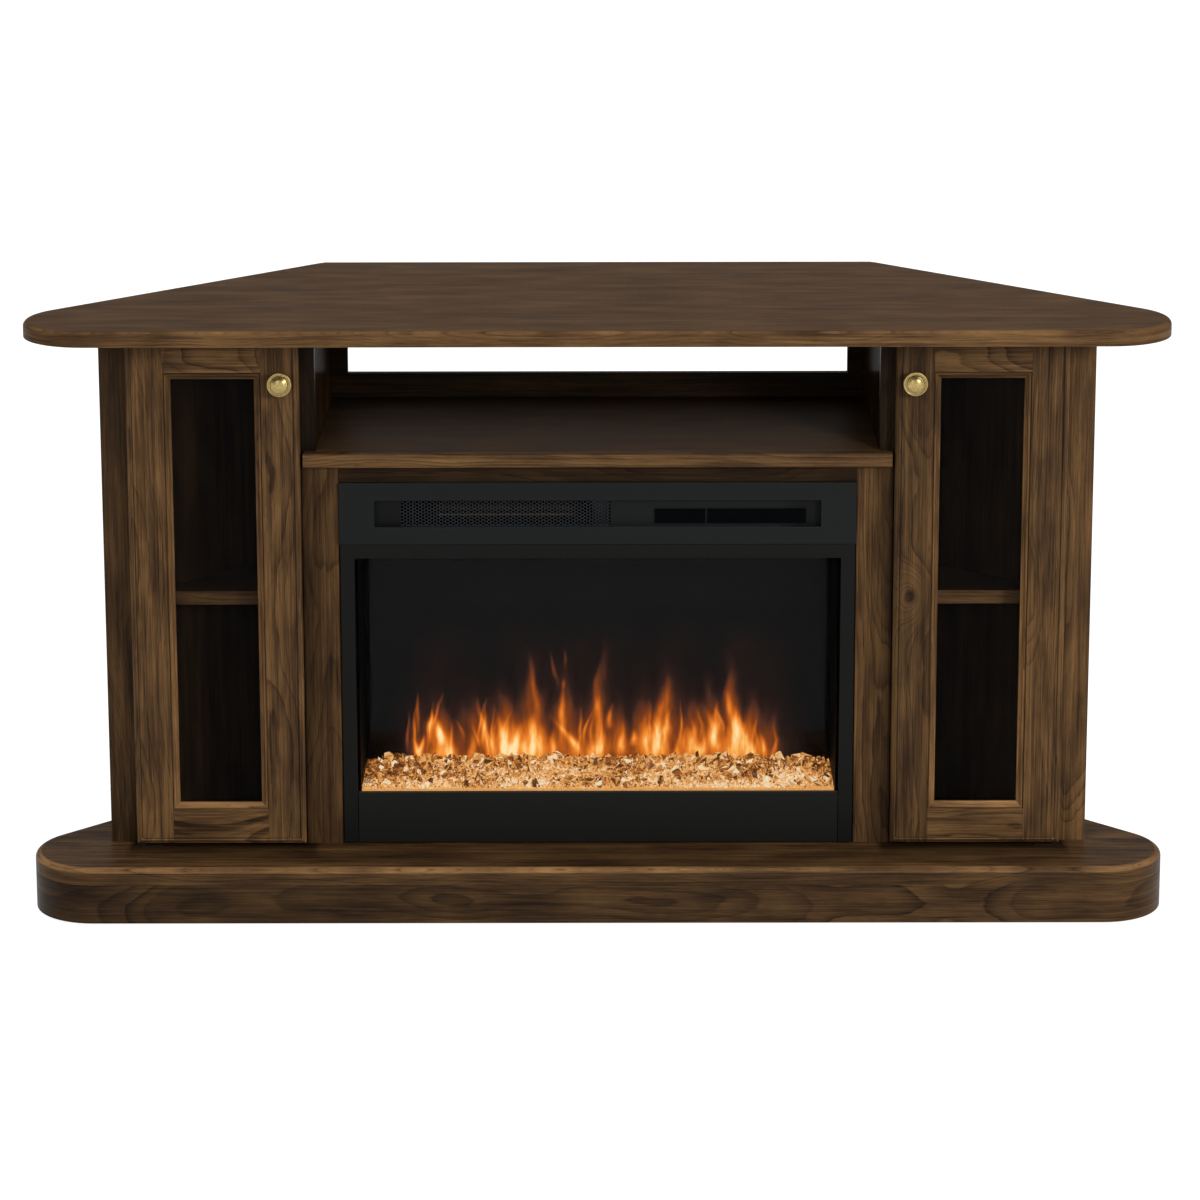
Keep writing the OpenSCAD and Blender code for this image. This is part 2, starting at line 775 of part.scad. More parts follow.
module heater_element() {
  x0 = mesh_x0 + 44;
  x1 = mesh_x1 - 45;
  y = face_y + 22;
  color("tan") {
    for (x = [x0, x1]) box([x - 3, y - 8, bay_z], [x + 3, y + 8, slot_z1 + 6]);
    for (k = [-1, 0, 1])
      translate([x0, y, (slot_z0 + slot_z1) / 2 + k * coil_rows]) rotate([0, 90, 0]) {
        cylinder(r = coil_core_r, h = x1 - x0);
        for (x = [coil_pitch : coil_pitch : x1 - x0 - coil_pitch])
          translate([0, 0, x]) cylinder(r = coil_r, h = coil_pitch / 3);
      }
  }
}

module blower_wheel() {
  blades = 20;
  color("gainsboro") translate([blower_x0, blower_y, blower_z]) rotate([0, 90, 0]) {
    length = blower_x1 - blower_x0;
    for (z = [0, length / 2, length - 2]) translate([0, 0, z]) cylinder(r = blower_r, h = 2);
    for (a = [0 : blades - 1]) rotate(a * 360 / blades) translate([blower_r - 5, -0.5, 0])
      rotate(25) cube([4, 1, length]);
    translate([0, 0, -12]) cylinder(r = shaft_r, h = length + 20);
  }
}

module blower_motor() {
  length = blower_x1 - blower_x0;
  color("silver") {
    translate([blower_x1 + 4, blower_y, blower_z]) rotate([0, 90, 0]) difference() {
      union() {
        cylinder(r = motor_r, h = motor_l);
        translate([-motor_r - 1, -motor_r - 1, 3]) cube([2 * motor_r + 2, 2 * motor_r + 2, motor_foot]);
      }
      translate([0, 0, -1]) cylinder(r = shaft_r + pivot_play, h = 14);
    }
    difference() {
      box([blower_x0 - 12, blower_y - 26, bay_z], [blower_x0 - 10, blower_y + 26, blower_z + 20]);
      translate([blower_x0 - 20, blower_y, blower_z]) rotate([0, 90, 0])
        cylinder(r = shaft_r + pivot_play, h = 20);
    }
    translate([blower_x1 + 7, blower_y - motor_r - 1, bay_z])
      cube([motor_foot, 2 * motor_r + 2, blower_z - motor_r - bay_z]);
  }
}

module flicker_rotor() {
  color("silver") translate([0, flicker_y, flicker_z]) rotate([0, 90, 0]) {
    translate([0, 0, -flicker_x - 8]) cylinder(r = shaft_r, h = 2 * flicker_x + 16);
    for (i = [0 : vanes - 1]) rotate(i * 75) translate([0, -0.5, (i - (vanes - 1) / 2) * vane_pitch - 7])
      cube([vane_r, 1, 14]);
  }
}

module flicker_motor() {
  x0 = flicker_x + shell_t;
  color("silver") translate([x0, flicker_y, flicker_z]) rotate([0, 90, 0]) difference() {
    cylinder(r = 14, h = 16);
    translate([0, 0, -1]) cylinder(r = shaft_r + pivot_play, h = 9);
  }
}

board_t_pc = 1.6;                      // thickness of the circuit boards

module light_board() {
  board_x = shell_x - 36;
  board_y = face_y + 30;
  board_z = flicker_z - 4;
  color("darkgreen") {
    box([-board_x, board_y, board_z], [board_x, board_y + 32, board_z + board_t_pc]);
    for (x = [-board_x + lamp_pitch / 2 : lamp_pitch : board_x - lamp_w])
      translate([x - lamp_w / 2, board_y + 13, board_z + board_t_pc]) cube([lamp_w, lamp_w, board_t_pc]);
    for (k = [-1, 0, 1])
      box([k * board_post_x - 4, board_y + 8, shell_z0 + shell_t], [k * board_post_x + 4, board_y + 24, board_z]);
  }
}

module control_board() {
  x0 = display_x0 + 8;
  x1 = display_x1 - 14;
  y0 = face_y + 30;
  y1 = y0 + board_t_pc;
  color("darkgreen") {
    box([x0, y0, bay_z], [x1, y1, shell_z1 - 12]);
    for (x = [x0 + 15 : 30 : x1 - 15]) box([x - 6, y1, bay_z + 14], [x + 6, y1 + 8, bay_z + 34]);
  }
}

// Gland with a nut on each side of the shell's back, where the mains lead comes in.
module mains_gland() {
  color([0.08, 0.08, 0.08]) translate([inlet_x, shell_back - shell_t, inlet_z]) rotate([-90, 0, 0])
    difference() {
      union() {
        translate([0, 0, -6]) cylinder(r = 12, h = 6, $fn = 6);
        cylinder(r = inlet_r - 0.1, h = 16);
        translate([0, 0, shell_t]) cylinder(r = 12, h = 5);
      }
      translate([0, 0, -10]) cylinder(r = 4, h = 40);
    }
}

top_board();
base_board();
base_front_skirt();
base_side_skirts();
base_ribs();
floor_glides();
outer_stiles();
inner_stiles();
tower_rails();
side_panels();
inner_walls();
tower_shelves();
shelf_pins();
media_shelf();
shelf_nosing();
support_cleats();
compartment_back();
lower_back();
surround_trim();
surround_frame();
back_screws();
pivot_plates();
catch_magnets();
door_bumpers();
left_door_stiles();
left_door_rails();
left_door_bead();
left_door_glass();
left_door_retainer();
left_door_knob();
left_knob_screw();
left_door_bushes();
left_door_strike();
right_door_stiles();
right_door_rails();
right_door_bead();
right_door_glass();
right_door_retainer();
right_door_knob();
right_knob_screw();
right_door_bushes();
right_door_strike();
firebox_shell();
vent_panel();
outlet_mesh();
display_window();
window_frame();
lower_panel();
front_glass();
flame_screen();
ember_tray();
ember_crystals();
heater_element();
blower_wheel();
blower_motor();
flicker_rotor();
flicker_motor();
light_board();
control_board();
mains_gland();
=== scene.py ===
import functools
import json
import math
import random

import bmesh
import bpy
from mathutils import Matrix, Vector, noise

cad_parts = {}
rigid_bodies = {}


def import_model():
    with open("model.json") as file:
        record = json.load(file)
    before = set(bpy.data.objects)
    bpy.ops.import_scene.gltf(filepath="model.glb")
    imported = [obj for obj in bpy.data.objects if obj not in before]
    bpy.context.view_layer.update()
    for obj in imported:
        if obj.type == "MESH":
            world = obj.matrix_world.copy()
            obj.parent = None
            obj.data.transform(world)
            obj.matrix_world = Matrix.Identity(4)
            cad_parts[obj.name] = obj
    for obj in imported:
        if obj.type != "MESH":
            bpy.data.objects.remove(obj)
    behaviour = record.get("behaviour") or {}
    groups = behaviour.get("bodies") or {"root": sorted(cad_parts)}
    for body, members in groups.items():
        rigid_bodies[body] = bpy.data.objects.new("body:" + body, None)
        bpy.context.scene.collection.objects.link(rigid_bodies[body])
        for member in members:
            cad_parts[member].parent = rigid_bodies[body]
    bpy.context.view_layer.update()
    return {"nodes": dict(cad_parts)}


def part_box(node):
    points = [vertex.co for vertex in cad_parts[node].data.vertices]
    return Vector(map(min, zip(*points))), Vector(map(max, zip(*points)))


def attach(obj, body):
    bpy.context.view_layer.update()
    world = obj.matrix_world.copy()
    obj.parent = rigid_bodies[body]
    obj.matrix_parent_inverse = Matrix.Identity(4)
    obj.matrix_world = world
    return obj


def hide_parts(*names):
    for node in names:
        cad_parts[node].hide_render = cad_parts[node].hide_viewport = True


# The looks of the corner fireplace, made round its CAD frame. Lengths are in metres unless a line says
# mm. -Y is the front and Z is up.

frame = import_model()
nodes = frame["nodes"]
rng = random.Random(11)
MM = 0.001
X, Y, Z = Vector((1, 0, 0)), Vector((0, 1, 0)), Vector((0, 0, 1))
BLACK, WHITE = (0, 0, 0, 1), (1, 1, 1, 1)
SIDES = ("left", "right")
box_of = functools.cache(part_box)


def part_way(value, low, high):
    """How far value lies on the way from low to high, from 0 to 1."""
    return min(max((value - low) / (high - low), 0.0), 1.0)


def blend(value, low, high, out_low, out_high):
    """Clamped map of value from low..high to out_low..out_high."""
    return out_low + (out_high - out_low) * part_way(value, low, high)


def ease(value, low, high):
    """Smooth step from 0 at low to 1 at high."""
    t = part_way(value, low, high)
    return t * t * (3 - 2 * t)


# ---- materials ----

def srgb(r, g, b):
    """Linear colour of an 8-bit sRGB colour."""
    channels = (c / 255 for c in (r, g, b))
    return tuple(c / 12.92 if c <= 0.04 else ((c + 0.055) / 1.055) ** 2.4 for c in channels) + (1,)


class Graph:
    """A material's node tree with short ways to add to it."""

    def __init__(self, name):
        self.material = bpy.data.materials.new(name)
        self.material.use_nodes = True
        self.tree = self.material.node_tree
        self.tree.nodes.clear()

    def add(self, kind, inputs=None, **settings):
        node = self.tree.nodes.new("ShaderNode" + kind)
        for key, value in settings.items():
            setattr(node, key, value)
        for key, value in (inputs or {}).items():
            self.put(node.inputs[key], value)
        return node

    def put(self, socket, value):
        if isinstance(value, bpy.types.NodeSocket):
            self.tree.links.new(value, socket)
        else:
            socket.default_value = value

    def math(self, operation, *values, clamp=False):
        node = self.add("Math", dict(enumerate(values)), operation=operation, use_clamp=clamp)
        return node.outputs[0]

    def attribute(self, name, output="Vector"):
        return self.add("Attribute", attribute_name=name).outputs[output]

    def split(self, vector):
        return self.add("SeparateXYZ", {0: vector}).outputs[:]

    def vector(self, x, y, z):
        return self.add("CombineXYZ", {0: x, 1: y, 2: z}).outputs[0]

    def stretched(self, vector, scale):
        return self.add("VectorMath", {0: vector, 1: scale}, operation="MULTIPLY").outputs[0]

    def noise(self, vector, detail=2.0, rough=0.5, scale=1.0):
        return self.add("TexNoise", {"Vector": vector, "Scale": scale, "Detail": detail,
                                     "Roughness": rough}).outputs["Fac"]

    def ramp(self, fac, *stops):
        """Colour ramp with stops (place, colour)."""
        node = self.add("ValToRGB", {0: fac})
        elements = node.color_ramp.elements
        while len(elements) < len(stops):
            elements.new(0.5)
        for element, (place, colour) in zip(elements, stops):
            element.position, element.color = place, colour
        return node.outputs[0]

    def level(self, fac, low, high, out_low=0.0, out_high=1.0, smooth=False):
        """Clamped map of fac from low..high to out_low..out_high."""
        node = self.add("MapRange", {0: fac, 1: low, 2: high, 3: out_low, 4: out_high})
        node.interpolation_type = "SMOOTHSTEP" if smooth else "LINEAR"
        return node.outputs[0]

    def about(self, fac, middle, spread):
        """A value that varies around middle with fac."""
        return self.level(fac, 0.2, 0.8, middle - spread, middle + spread)

    def mix(self, fac, a, b, blend="MIX"):
        node = self.add("Mix", data_type="RGBA", blend_type=blend)
        self.put(node.inputs[0], fac)
        self.put(node.inputs[6], a)
        self.put(node.inputs[7], b)
        return node.outputs[2]

    def bump(self, height, distance, strength=1.0):
        inputs = {"Height": height, "Distance": distance, "Strength": strength}
        return self.add("Bump", inputs).outputs[0]

    def finish(self, **sockets):
        """Principled surface; a socket is named as in Blender with _ for its spaces."""
        shader = self.add("BsdfPrincipled")
        for name, value in sockets.items():
            self.put(shader.inputs[name.replace("_", " ")], value)
        self.add("OutputMaterial", {0: shader.outputs[0]})
        return self.material


def place(g):
    """Position on the object, in metres."""
    return g.add("TexCoord").outputs["Object"]


def grit(g, scale, detail=2.0):
    """Noise on the object, scale times per metre: one number, or one for each axis."""
    scales = scale if isinstance(scale, tuple) else (scale, scale, scale)
    return g.noise(g.stretched(place(g), scales), detail)


def facing(g):
    """X, Y and Z of a face's own normal."""
    return g.split(g.add("NewGeometry").outputs["True Normal"])


def two_tone(g, fac, low, high, spread=0.2):
    """Ramp between two 8-bit colours, from 0.5 - spread to 0.5 + spread."""
    return g.ramp(fac, (0.5 - spread, srgb(*low)), (0.5 + spread, srgb(*high)))


# Patterns in the wood: repeats per metre (along, across and through a board), detail and roughness.
WARP = ((9, 38, 38), 3, 0.5)
BLOTCH = ((9, 34, 34), 3, 0.55)
STREAK = ((2.2, 150, 150), 3, 0.6)
FINE = ((9, 520, 520), 3, 0.7)
FIBRE = ((24, 900, 900), 2, 0.6)
PORE = ((70, 1500, 1500), 1, 0.5)

# How a board is sawn: reach of its pith to the side, how often and how far the pith drifts in depth,
# sharpness of the late wood, weakest and strongest ring, and weights of blotch, streak and fine.
PLAIN_SAWN = {"side": 0.11, "drift": (1.9, 0.045), "late": 4.0, "rings": (0.1, 1.0),
              "weights": (0.38, 0.30, 0.32)}
FLAT_SAWN = {"side": 0.02, "drift": (2.1, 0.12), "late": 2.6, "rings": (0.4, 1.1),
             "weights": (0.42, 0.22, 0.36)}

WALNUT_TONES = ((54, 37, 23), (92, 66, 41), (134, 99, 61), (34, 23, 14))  # dark, mid, pale, late wood
KNOT_HEART = (34, 25, 18)


def walnut(name, tone=1.0, knot=None, figure=1.0, lit_edges=False, calm_top=False, roughness=0.46,
           specular=0.08, rings=None):
    """Oiled walnut. The mesh gives grain = (along, across, through), a seed, and for each board a shade:
    painted light and shade that scales its colour. knot is (x, z, size) on the object; lit_edges paints a
    highlight on a front's bevels that face right or up, calm_top is for a board whose upper face shows
    little figure, and rings is the distance between the wide rings of a flat-sawn board."""
    g = Graph(name)
    sawn = FLAT_SAWN if rings else PLAIN_SAWN
    grain, seed = g.attribute("grain"), g.attribute("seed", "Fac")
    u, v, w = g.split(grain)
    far = g.math("MULTIPLY", seed, 70)
    moved = g.add("VectorMath", {0: grain, 1: g.vector(far, 0, 0)}, operation="ADD").outputs[0]

    def pattern(scale, detail, rough):
        return g.noise(g.stretched(moved, scale), detail, rough)

    def centred(value):
        return g.math("SUBTRACT", value, 0.5)

    def chance(k):
        """A number from 0 to 1 for the board, another one for each k."""
        return g.math("FRACT", g.math("MULTIPLY", seed, k))

    def swing(k, reach):
        """Slow drift along the board, at most reach to each side."""
        n = g.noise(g.vector(g.math("MULTIPLY", u, k), far, k), 2)
        return g.math("MULTIPLY", centred(n), 2 * reach)

    def length(a, b):
        return g.math("SQRT", g.math("ADD", g.math("MULTIPLY", a, a), g.math("MULTIPLY", b, b)))

    # growth rings round a pith that drifts beside and behind the board
    side = g.math("MULTIPLY", centred(chance(7.31)), sawn["side"])
    across = g.math("ADD", g.math("SUBTRACT", v, side), swing(2.6, 0.045))
    depth = g.math("MULTIPLY_ADD", chance(3.77), 0.06, 0.018)
    through = g.math("ADD", g.math("ADD", w, depth), swing(*sawn["drift"]))
    warp = pattern(*WARP)
    radius = g.math("MULTIPLY_ADD", centred(warp), 0.0085, length(across, through))
    whorl = 0.0
    if knot:
        knot_x, knot_z, size = knot
        x, _, z = g.split(place(g))
        du = g.math("MULTIPLY", g.math("SUBTRACT", z, knot_z), 0.62)
        reach = length(du, g.math("SUBTRACT", x, knot_x))
        reach = g.math("MULTIPLY_ADD", centred(warp), 0.008, reach)
        off = g.math("POWER", g.math("DIVIDE", reach, size), 2)
        near = g.math("POWER", math.e, g.math("MULTIPLY", off, -1))
        radius = g.math("MULTIPLY_ADD", near, 0.028, radius)
        whorl = g.math("MULTIPLY", near, 1.2)
    spacing = rings or g.math("MULTIPLY_ADD", chance(5.19), 0.0022, 0.0036)
    phase = g.math("DIVIDE", radius, spacing)
    jitter = g.noise(g.vector(g.math("MULTIPLY", phase, 0.45), far, 3), 1)
    phase = g.math("MULTIPLY_ADD", jitter, 2.6, phase)
    ring, part = g.math("FLOOR", phase), g.math("FRACT", phase)
    late = g.math("POWER", part, sawn["late"])
    late = g.math("MULTIPLY", late, g.level(part, 0.93, 1.0, 1.0, 0.0))
    chosen = g.add("TexWhiteNoise", {"W": g.math("ADD", ring, far)},
                   noise_dimensions="1D").outputs["Value"]
    strength = g.math("ADD", g.level(chosen, 0.0, 1.0, *sawn["rings"]), whorl)
    late = g.math("MULTIPLY", late, strength)

    fine, fibre = pattern(*FINE), pattern(*FIBRE)
    light = 0.0
    for layer, weight in zip((pattern(*BLOTCH), pattern(*STREAK), fine), sawn["weights"]):
        light = g.math("MULTIPLY_ADD", layer, weight, light)
    light = g.level(light, 0.465 - 0.10 / figure, 0.465 + 0.15 / figure)
    dark, mid, pale, deep = (tuple(c * tone for c in srgb(*rgb)[:3]) + (1,) for rgb in WALNUT_TONES)
    colour = g.ramp(light, (0.0, dark), (0.42, mid), (1.0, pale))
    late = g.math("MULTIPLY", late, g.level(fine, 0.32, 0.62, 1.4, 0.7))
    colour = g.mix(g.math("MULTIPLY", late, min(1.0, 0.9 * figure), clamp=True), colour, deep)
    colour = g.mix(g.level(pattern(*PORE), 0.60, 0.74, 0.0, 0.45), colour, deep)
    if calm_top:
        colour = g.mix(g.level(facing(g)[2], 0.8, 0.99, 0.0, 0.5), colour, mid)
    if knot:
        colour = g.mix(g.math("MULTIPLY", near, 0.4), colour, pale)
        heart = g.level(reach, size * 0.12, size * 0.5, 0.9, 0.0, smooth=True)
        colour = g.mix(heart, colour, srgb(*KNOT_HEART))
    # The fibre's variation times the board's painted light and shade; lit_edges adds painted highlights.
    bright = g.level(fibre, 0.25, 0.75, 0.84, 1.16)
    bright = g.math("MULTIPLY", bright, g.attribute("shade", "Fac"))
    if lit_edges:
        right, _, up = facing(g)
        for way, gain in ((right, 1.05), (up, 1.5)):
            bright = g.math("MULTIPLY", bright, g.level(way, 0.25, 0.6, 1.0, gain))
    colour = g.mix(1.0, colour, g.vector(bright, bright, bright), blend="MULTIPLY")
    height = g.math("SUBTRACT", fibre, g.math("MULTIPLY", late, 0.8))
    return g.finish(Base_Color=colour, Roughness=g.about(fibre, roughness, 0.06),
                    Specular_IOR_Level=specular, Normal=g.bump(height, 0.00025, 0.5))


def hardboard(name):
    g = Graph(name)
    fleck = grit(g, 900, 3)
    mixed = g.math("ADD", g.math("MULTIPLY", fleck, 0.6), g.math("MULTIPLY", grit(g, 9), 0.4))
    return g.finish(Base_Color=two_tone(g, mixed, (58, 42, 29), (98, 74, 52)), Roughness=0.75,
                    Specular_IOR_Level=0.2, Normal=g.bump(fleck, 0.0002, 0.5))


def plain(name, low, high, roughness, metallic=0.0, specular=0.5, scale=400.0):
    """A finish whose colour and roughness vary a little between two tones."""
    g = Graph(name)
    n = grit(g, scale)
    return g.finish(Base_Color=two_tone(g, n, low, high), Metallic=metallic,
                    Roughness=g.about(n, roughness, 0.05), Specular_IOR_Level=specular,
                    Normal=g.bump(n, 0.00005, 0.6))


SLOT_END = (0.225, 0.255)  # |x| from and to which the slot's shadow grows darker


def powder_coat(name, low, high, edge, specular, recess=None):
    """Black coated steel with painted light and shade: faces that look up, such as thin top edges, are
    painted in the lighter edge colour as a highlight. Behind the depth recess it is painted darker as the
    slot's shadow, most of all at the slot's ends."""
    g = Graph(name)
    n = grit(g, 1500)
    colour = g.mix(g.level(facing(g)[2], 0.3, 0.9), two_tone(g, n, low, high), srgb(*edge))
    if recess:
        x, y, _ = g.split(place(g))
        ends = g.level(g.math("ABSOLUTE", x), *SLOT_END, 0.2, 0.68)
        inside = g.level(y, recess, recess + 1.5 * MM)
        colour = g.mix(g.math("MULTIPLY", inside, ends), colour, BLACK)
    return g.finish(Base_Color=colour, Roughness=g.about(n, 0.51, 0.05), Specular_IOR_Level=specular,
                    Normal=g.bump(n, 0.00004, 0.6))


def brushed(name, low, high, roughness, stretch):
    """Bare metal with fine lines; stretch gives their repeats per metre along each axis."""
    g = Graph(name)
    n = grit(g, stretch, 3)
    return g.finish(Base_Color=two_tone(g, n, low, high, 0.25), Metallic=1.0,
                    Roughness=g.about(n, roughness, 0.08), Normal=g.bump(n, 0.00003, 0.5))


def pane(name, tint, opacity, specular, roughness=0.04):
    """Dark glass that shows what lies behind it."""
    g = Graph(name)
    film = grit(g, (3, 3, 2))
    return g.finish(Base_Color=srgb(*tint), Roughness=roughness, Specular_IOR_Level=specular,
                    Alpha=g.level(film, 0.3, 0.7, opacity - 0.02, opacity + 0.02))


def display_panel(name, seam):
    """Smoked plastic with a thin grey line between the display and the receiver, at x = seam."""
    g = Graph(name)
    cloud = grit(g, 60)
    off = g.math("ABSOLUTE", g.math("SUBTRACT", g.split(place(g))[0], seam))
    plastic = two_tone(g, cloud, (4, 5, 7), (6, 7, 9))
    colour = g.mix(g.level(off, 0.5 * MM, 0.9 * MM), srgb(70, 72, 77), plastic)
    return g.finish(Base_Color=colour, Roughness=g.about(cloud, 0.2, 0.05), Specular_IOR_Level=0.01)


def ember_glass(name):
    """Lit crystals: the mesh gives glow, one number for each facet."""
    g = Graph(name)
    glow = g.attribute("glow", "Fac")
    value = g.math("MULTIPLY_ADD", g.math("SUBTRACT", grit(g, 420), 0.5), 0.5, glow)
    colour = g.ramp(value, (0.0, srgb(48, 22, 6)), (0.22, srgb(126, 68, 22)), (0.46, srgb(212, 138, 62)),
                    (0.72, srgb(248, 190, 116)), (1.0, srgb(255, 236, 200)))
    return g.finish(Base_Color=srgb(90, 60, 36), Roughness=0.15, Specular_IOR_Level=0.4,
                    Emission_Color=colour, Emission_Strength=1.0)


def flame_light(name):
    """Projected flames: the mesh gives shine, how strong the light is at a place."""
    g = Graph(name)
    lick = g.level(grit(g, (90, 1, 22), 3), 0.3, 0.7, 0.6, 1.3)
    shine = g.math("MULTIPLY", g.attribute("shine", "Fac"), lick)
    colour = g.ramp(g.math("MULTIPLY", shine, 0.8), (0.0, srgb(44, 35, 33)), (0.08, srgb(74, 46, 36)),
                    (0.22, srgb(146, 72, 30)), (0.42, srgb(224, 114, 34)), (0.60, srgb(250, 144, 52)),
                    (0.78, srgb(255, 188, 100)), (0.95, srgb(255, 226, 168)))
    return g.finish(Base_Color=BLACK, Roughness=1.0, Specular_IOR_Level=0.0, Emission_Color=colour,
                    Emission_Strength=g.level(shine, 0.45, 1.0, 1.0, 1.28),
                    Alpha=g.math("MULTIPLY", shine, 9.0, clamp=True))


slot_y = box_of("vent_panel")[0].y + 3 * MM
display_seam = 0.1375
FINISH = {name: make(name, *settings) for make, name, *settings in (
    (walnut, "walnut"),
    (walnut, "walnut_plain", 0.72),
    (hardboard, "hardboard"),
    (plain, "brass", (148, 128, 80), (180, 158, 106), 0.33, 1.0),
    (brushed, "bright_steel", (150, 151, 152), (196, 197, 198), 0.3, (700, 700, 60)),
    # The third colour of a powder coat is its painted highlight on faces that look up.
    (powder_coat, "black_steel", (20, 21, 21), (25, 26, 26), (52, 54, 56), 0.10, slot_y),
    (powder_coat, "frame_steel", (14, 14, 13), (18, 18, 17), (50, 48, 45), 0.09),
    (powder_coat, "panel_steel", (19, 19, 18), (24, 24, 23), (60, 56, 50), 0.09),
    (pane, "door_glass", (4, 4, 5), 0.32, 0.05),
    (pane, "fire_glass", (6, 6, 7), 0.12, 0.05),
    (pane, "screen_glass", (10, 10, 10), 0.93, 0.12, 0.06),
    (ember_glass, "ember_glass"),
    (pane, "clear_plastic", (200, 190, 176), 0.5, 0.4, 0.2),
    (display_panel, "display_plastic", display_seam),
    (brushed, "aluminium", (112, 113, 114), (146, 147, 148), 0.4, (60, 900, 900)),
    (plain, "motor_steel", (40, 41, 43), (56, 57, 59), 0.5, 1.0),
    (plain, "circuit_board", (16, 58, 34), (28, 82, 50), 0.45, 0.0, 0.5, 260.0),
    (plain, "black_plastic", (12, 12, 12), (19, 19, 19), 0.6, 0.0, 0.15),
    (plain, "white_plastic", (214, 212, 206), (230, 228, 222), 0.5, 0.0, 0.4),
    (plain, "grey_plastic", (62, 62, 62), (84, 83, 82), 0.55, 0.0, 0.3),
    # Painted shadow colour: dark brown for the steel plates and plastic bushes under the doors.
    (plain, "dark_bronze", (24, 18, 12), (34, 26, 18), 0.6, 0.0, 0.1),
    (plain, "dark_shell", (5, 5, 5), (9, 9, 9), 0.6, 0.0, 0.03),
    (plain, "bumper_rubber", (40, 40, 42), (56, 56, 58), 0.7, 0.0, 0.3),
)}
wood = FINISH["walnut"]


# ---- making pieces ----

def body_of(node):
    return nodes[node].parent.name.split(":")[1]


def slot_of(node):
    return nodes[node].data.materials[0].name.split(".")[0]


def add_piece(name, mesh, material, node, replaced=True):
    """Shows mesh as a piece that rides with the CAD node, and in its place if replaced."""
    mesh.materials.clear()
    mesh.materials.append(material)
    piece = bpy.data.objects.new(name, mesh)
    bpy.context.scene.collection.objects.link(piece)
    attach(piece, body_of(node))
    if replaced:
        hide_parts(node)
    return piece


def mesh_from(name, verts, faces, smooth=False):
    mesh = bpy.data.meshes.new(name)
    mesh.from_pydata(verts, [], faces)
    mesh.update()
    if smooth:
        mesh.shade_smooth()
    return mesh


def solid_mesh(node, bevel):
    """Copy of a CAD node's mesh with merged flat faces and softened edges."""
    bm = bmesh.new()
    bm.from_mesh(nodes[node].data)
    bmesh.ops.remove_doubles(bm, verts=bm.verts[:], dist=0.005 * MM)
    bmesh.ops.dissolve_limit(bm, angle_limit=math.radians(0.4), verts=bm.verts[:], edges=bm.edges[:])
    sharp = [e for e in bm.edges if len(e.link_faces) == 2 and e.calc_face_angle(0) > math.radians(25)
             and e.calc_length() > 4 * bevel]
    bmesh.ops.bevel(bm, geom=sharp, offset=bevel, segments=2, profile=0.5, affect="EDGES",
                    clamp_overlap=True)
    mesh = bpy.data.meshes.new(node + "_dressed")
    bm.to_mesh(mesh)
    bm.free()
    mesh.shade_smooth()
    mesh.set_sharp_from_angle(angle=math.radians(20))
    return mesh


def islands(mesh):
    """Vertex numbers of each loose part of a mesh."""
    parent = list(range(len(mesh.vertices)))

    def root(i):
        while parent[i] != i:
            parent[i] = parent[parent[i]]
            i = parent[i]
        return i

    for edge in mesh.edges:
        a, b = root(edge.vertices[0]), root(edge.vertices[1])
        parent[a] = b
    groups = {}
    for i in range(len(parent)):
        groups.setdefault(root(i), []).append(i)
    return list(groups.values())


def board_axes(points):
    """Directions along, across and through a board, from its extents."""
    extents = [max(p[k] for p in points) - min(p[k] for p in points) for k in range(3)]
    order = sorted(range(3), key=lambda k: -extents[k])
    return [(X, Y, Z)[k] for k in order]


def slanted_axes(points, upright):
    """The same for a board along one of the cabinet's 45 degree sides."""
    side = 1 if sum(p.x for p in points) > 0 else -1
    along = Vector((side, -1, 0)).normalized()
    through = Vector((side, 1, 0)).normalized()
    return (Z, along, through) if upright else (along, Z, through)


def wood_attributes(mesh, domain):
    """Makes what the wood finishes read: grain on domain, seed and painted shade on the points."""
    mesh.attributes.new("grain", "FLOAT_VECTOR", domain)
    for name in ("seed", "shade"):
        mesh.attributes.new(name, "FLOAT", "POINT")
    return [mesh.attributes[name].data for name in ("grain", "seed", "shade")]


def add_grain(mesh, axes=board_axes, bend=None, shades=(1.0, 1.0)):
    """Writes grain, seed and painted shade for each loose board of a mesh. bend gives a bent board's
    grain at a place. shades, the painted light and shade, are for the boards left of the middle and all
    others, or a function of the place."""
    grain, seed, shade = wood_attributes(mesh, "POINT")
    for group in islands(mesh):
        points = [mesh.vertices[i].co for i in group]
        middle = sum(points, Vector()) / len(points)
        u, v, w = axes(points)
        number = rng.random()
        for i, p in zip(group, points):
            d = p - middle
            grain[i].vector = bend(p) if bend else (d.dot(u), d.dot(v), d.dot(w))
            seed[i].value = number
            shade[i].value = shades(p) if callable(shades) else shades[middle.x > -20 * MM]


def weighted(piece):
    modifier = piece.modifiers.new("normals", "WEIGHTED_NORMAL")
    modifier.keep_sharp = True
    modifier.weight = 80
    return piece


slots = {name: slot_of(name) for name in nodes}
for name, node in nodes.items():
    node.data.materials[0] = FINISH[slots[name]]


# ---- woodwork ----

TOP_RADIUS, BASE_RADIUS = 83 * MM, 81 * MM  # of the round front corners
SKIRT_MIDDLE = 30 * MM  # height
door_front = box_of("left_door_stiles")[0].y


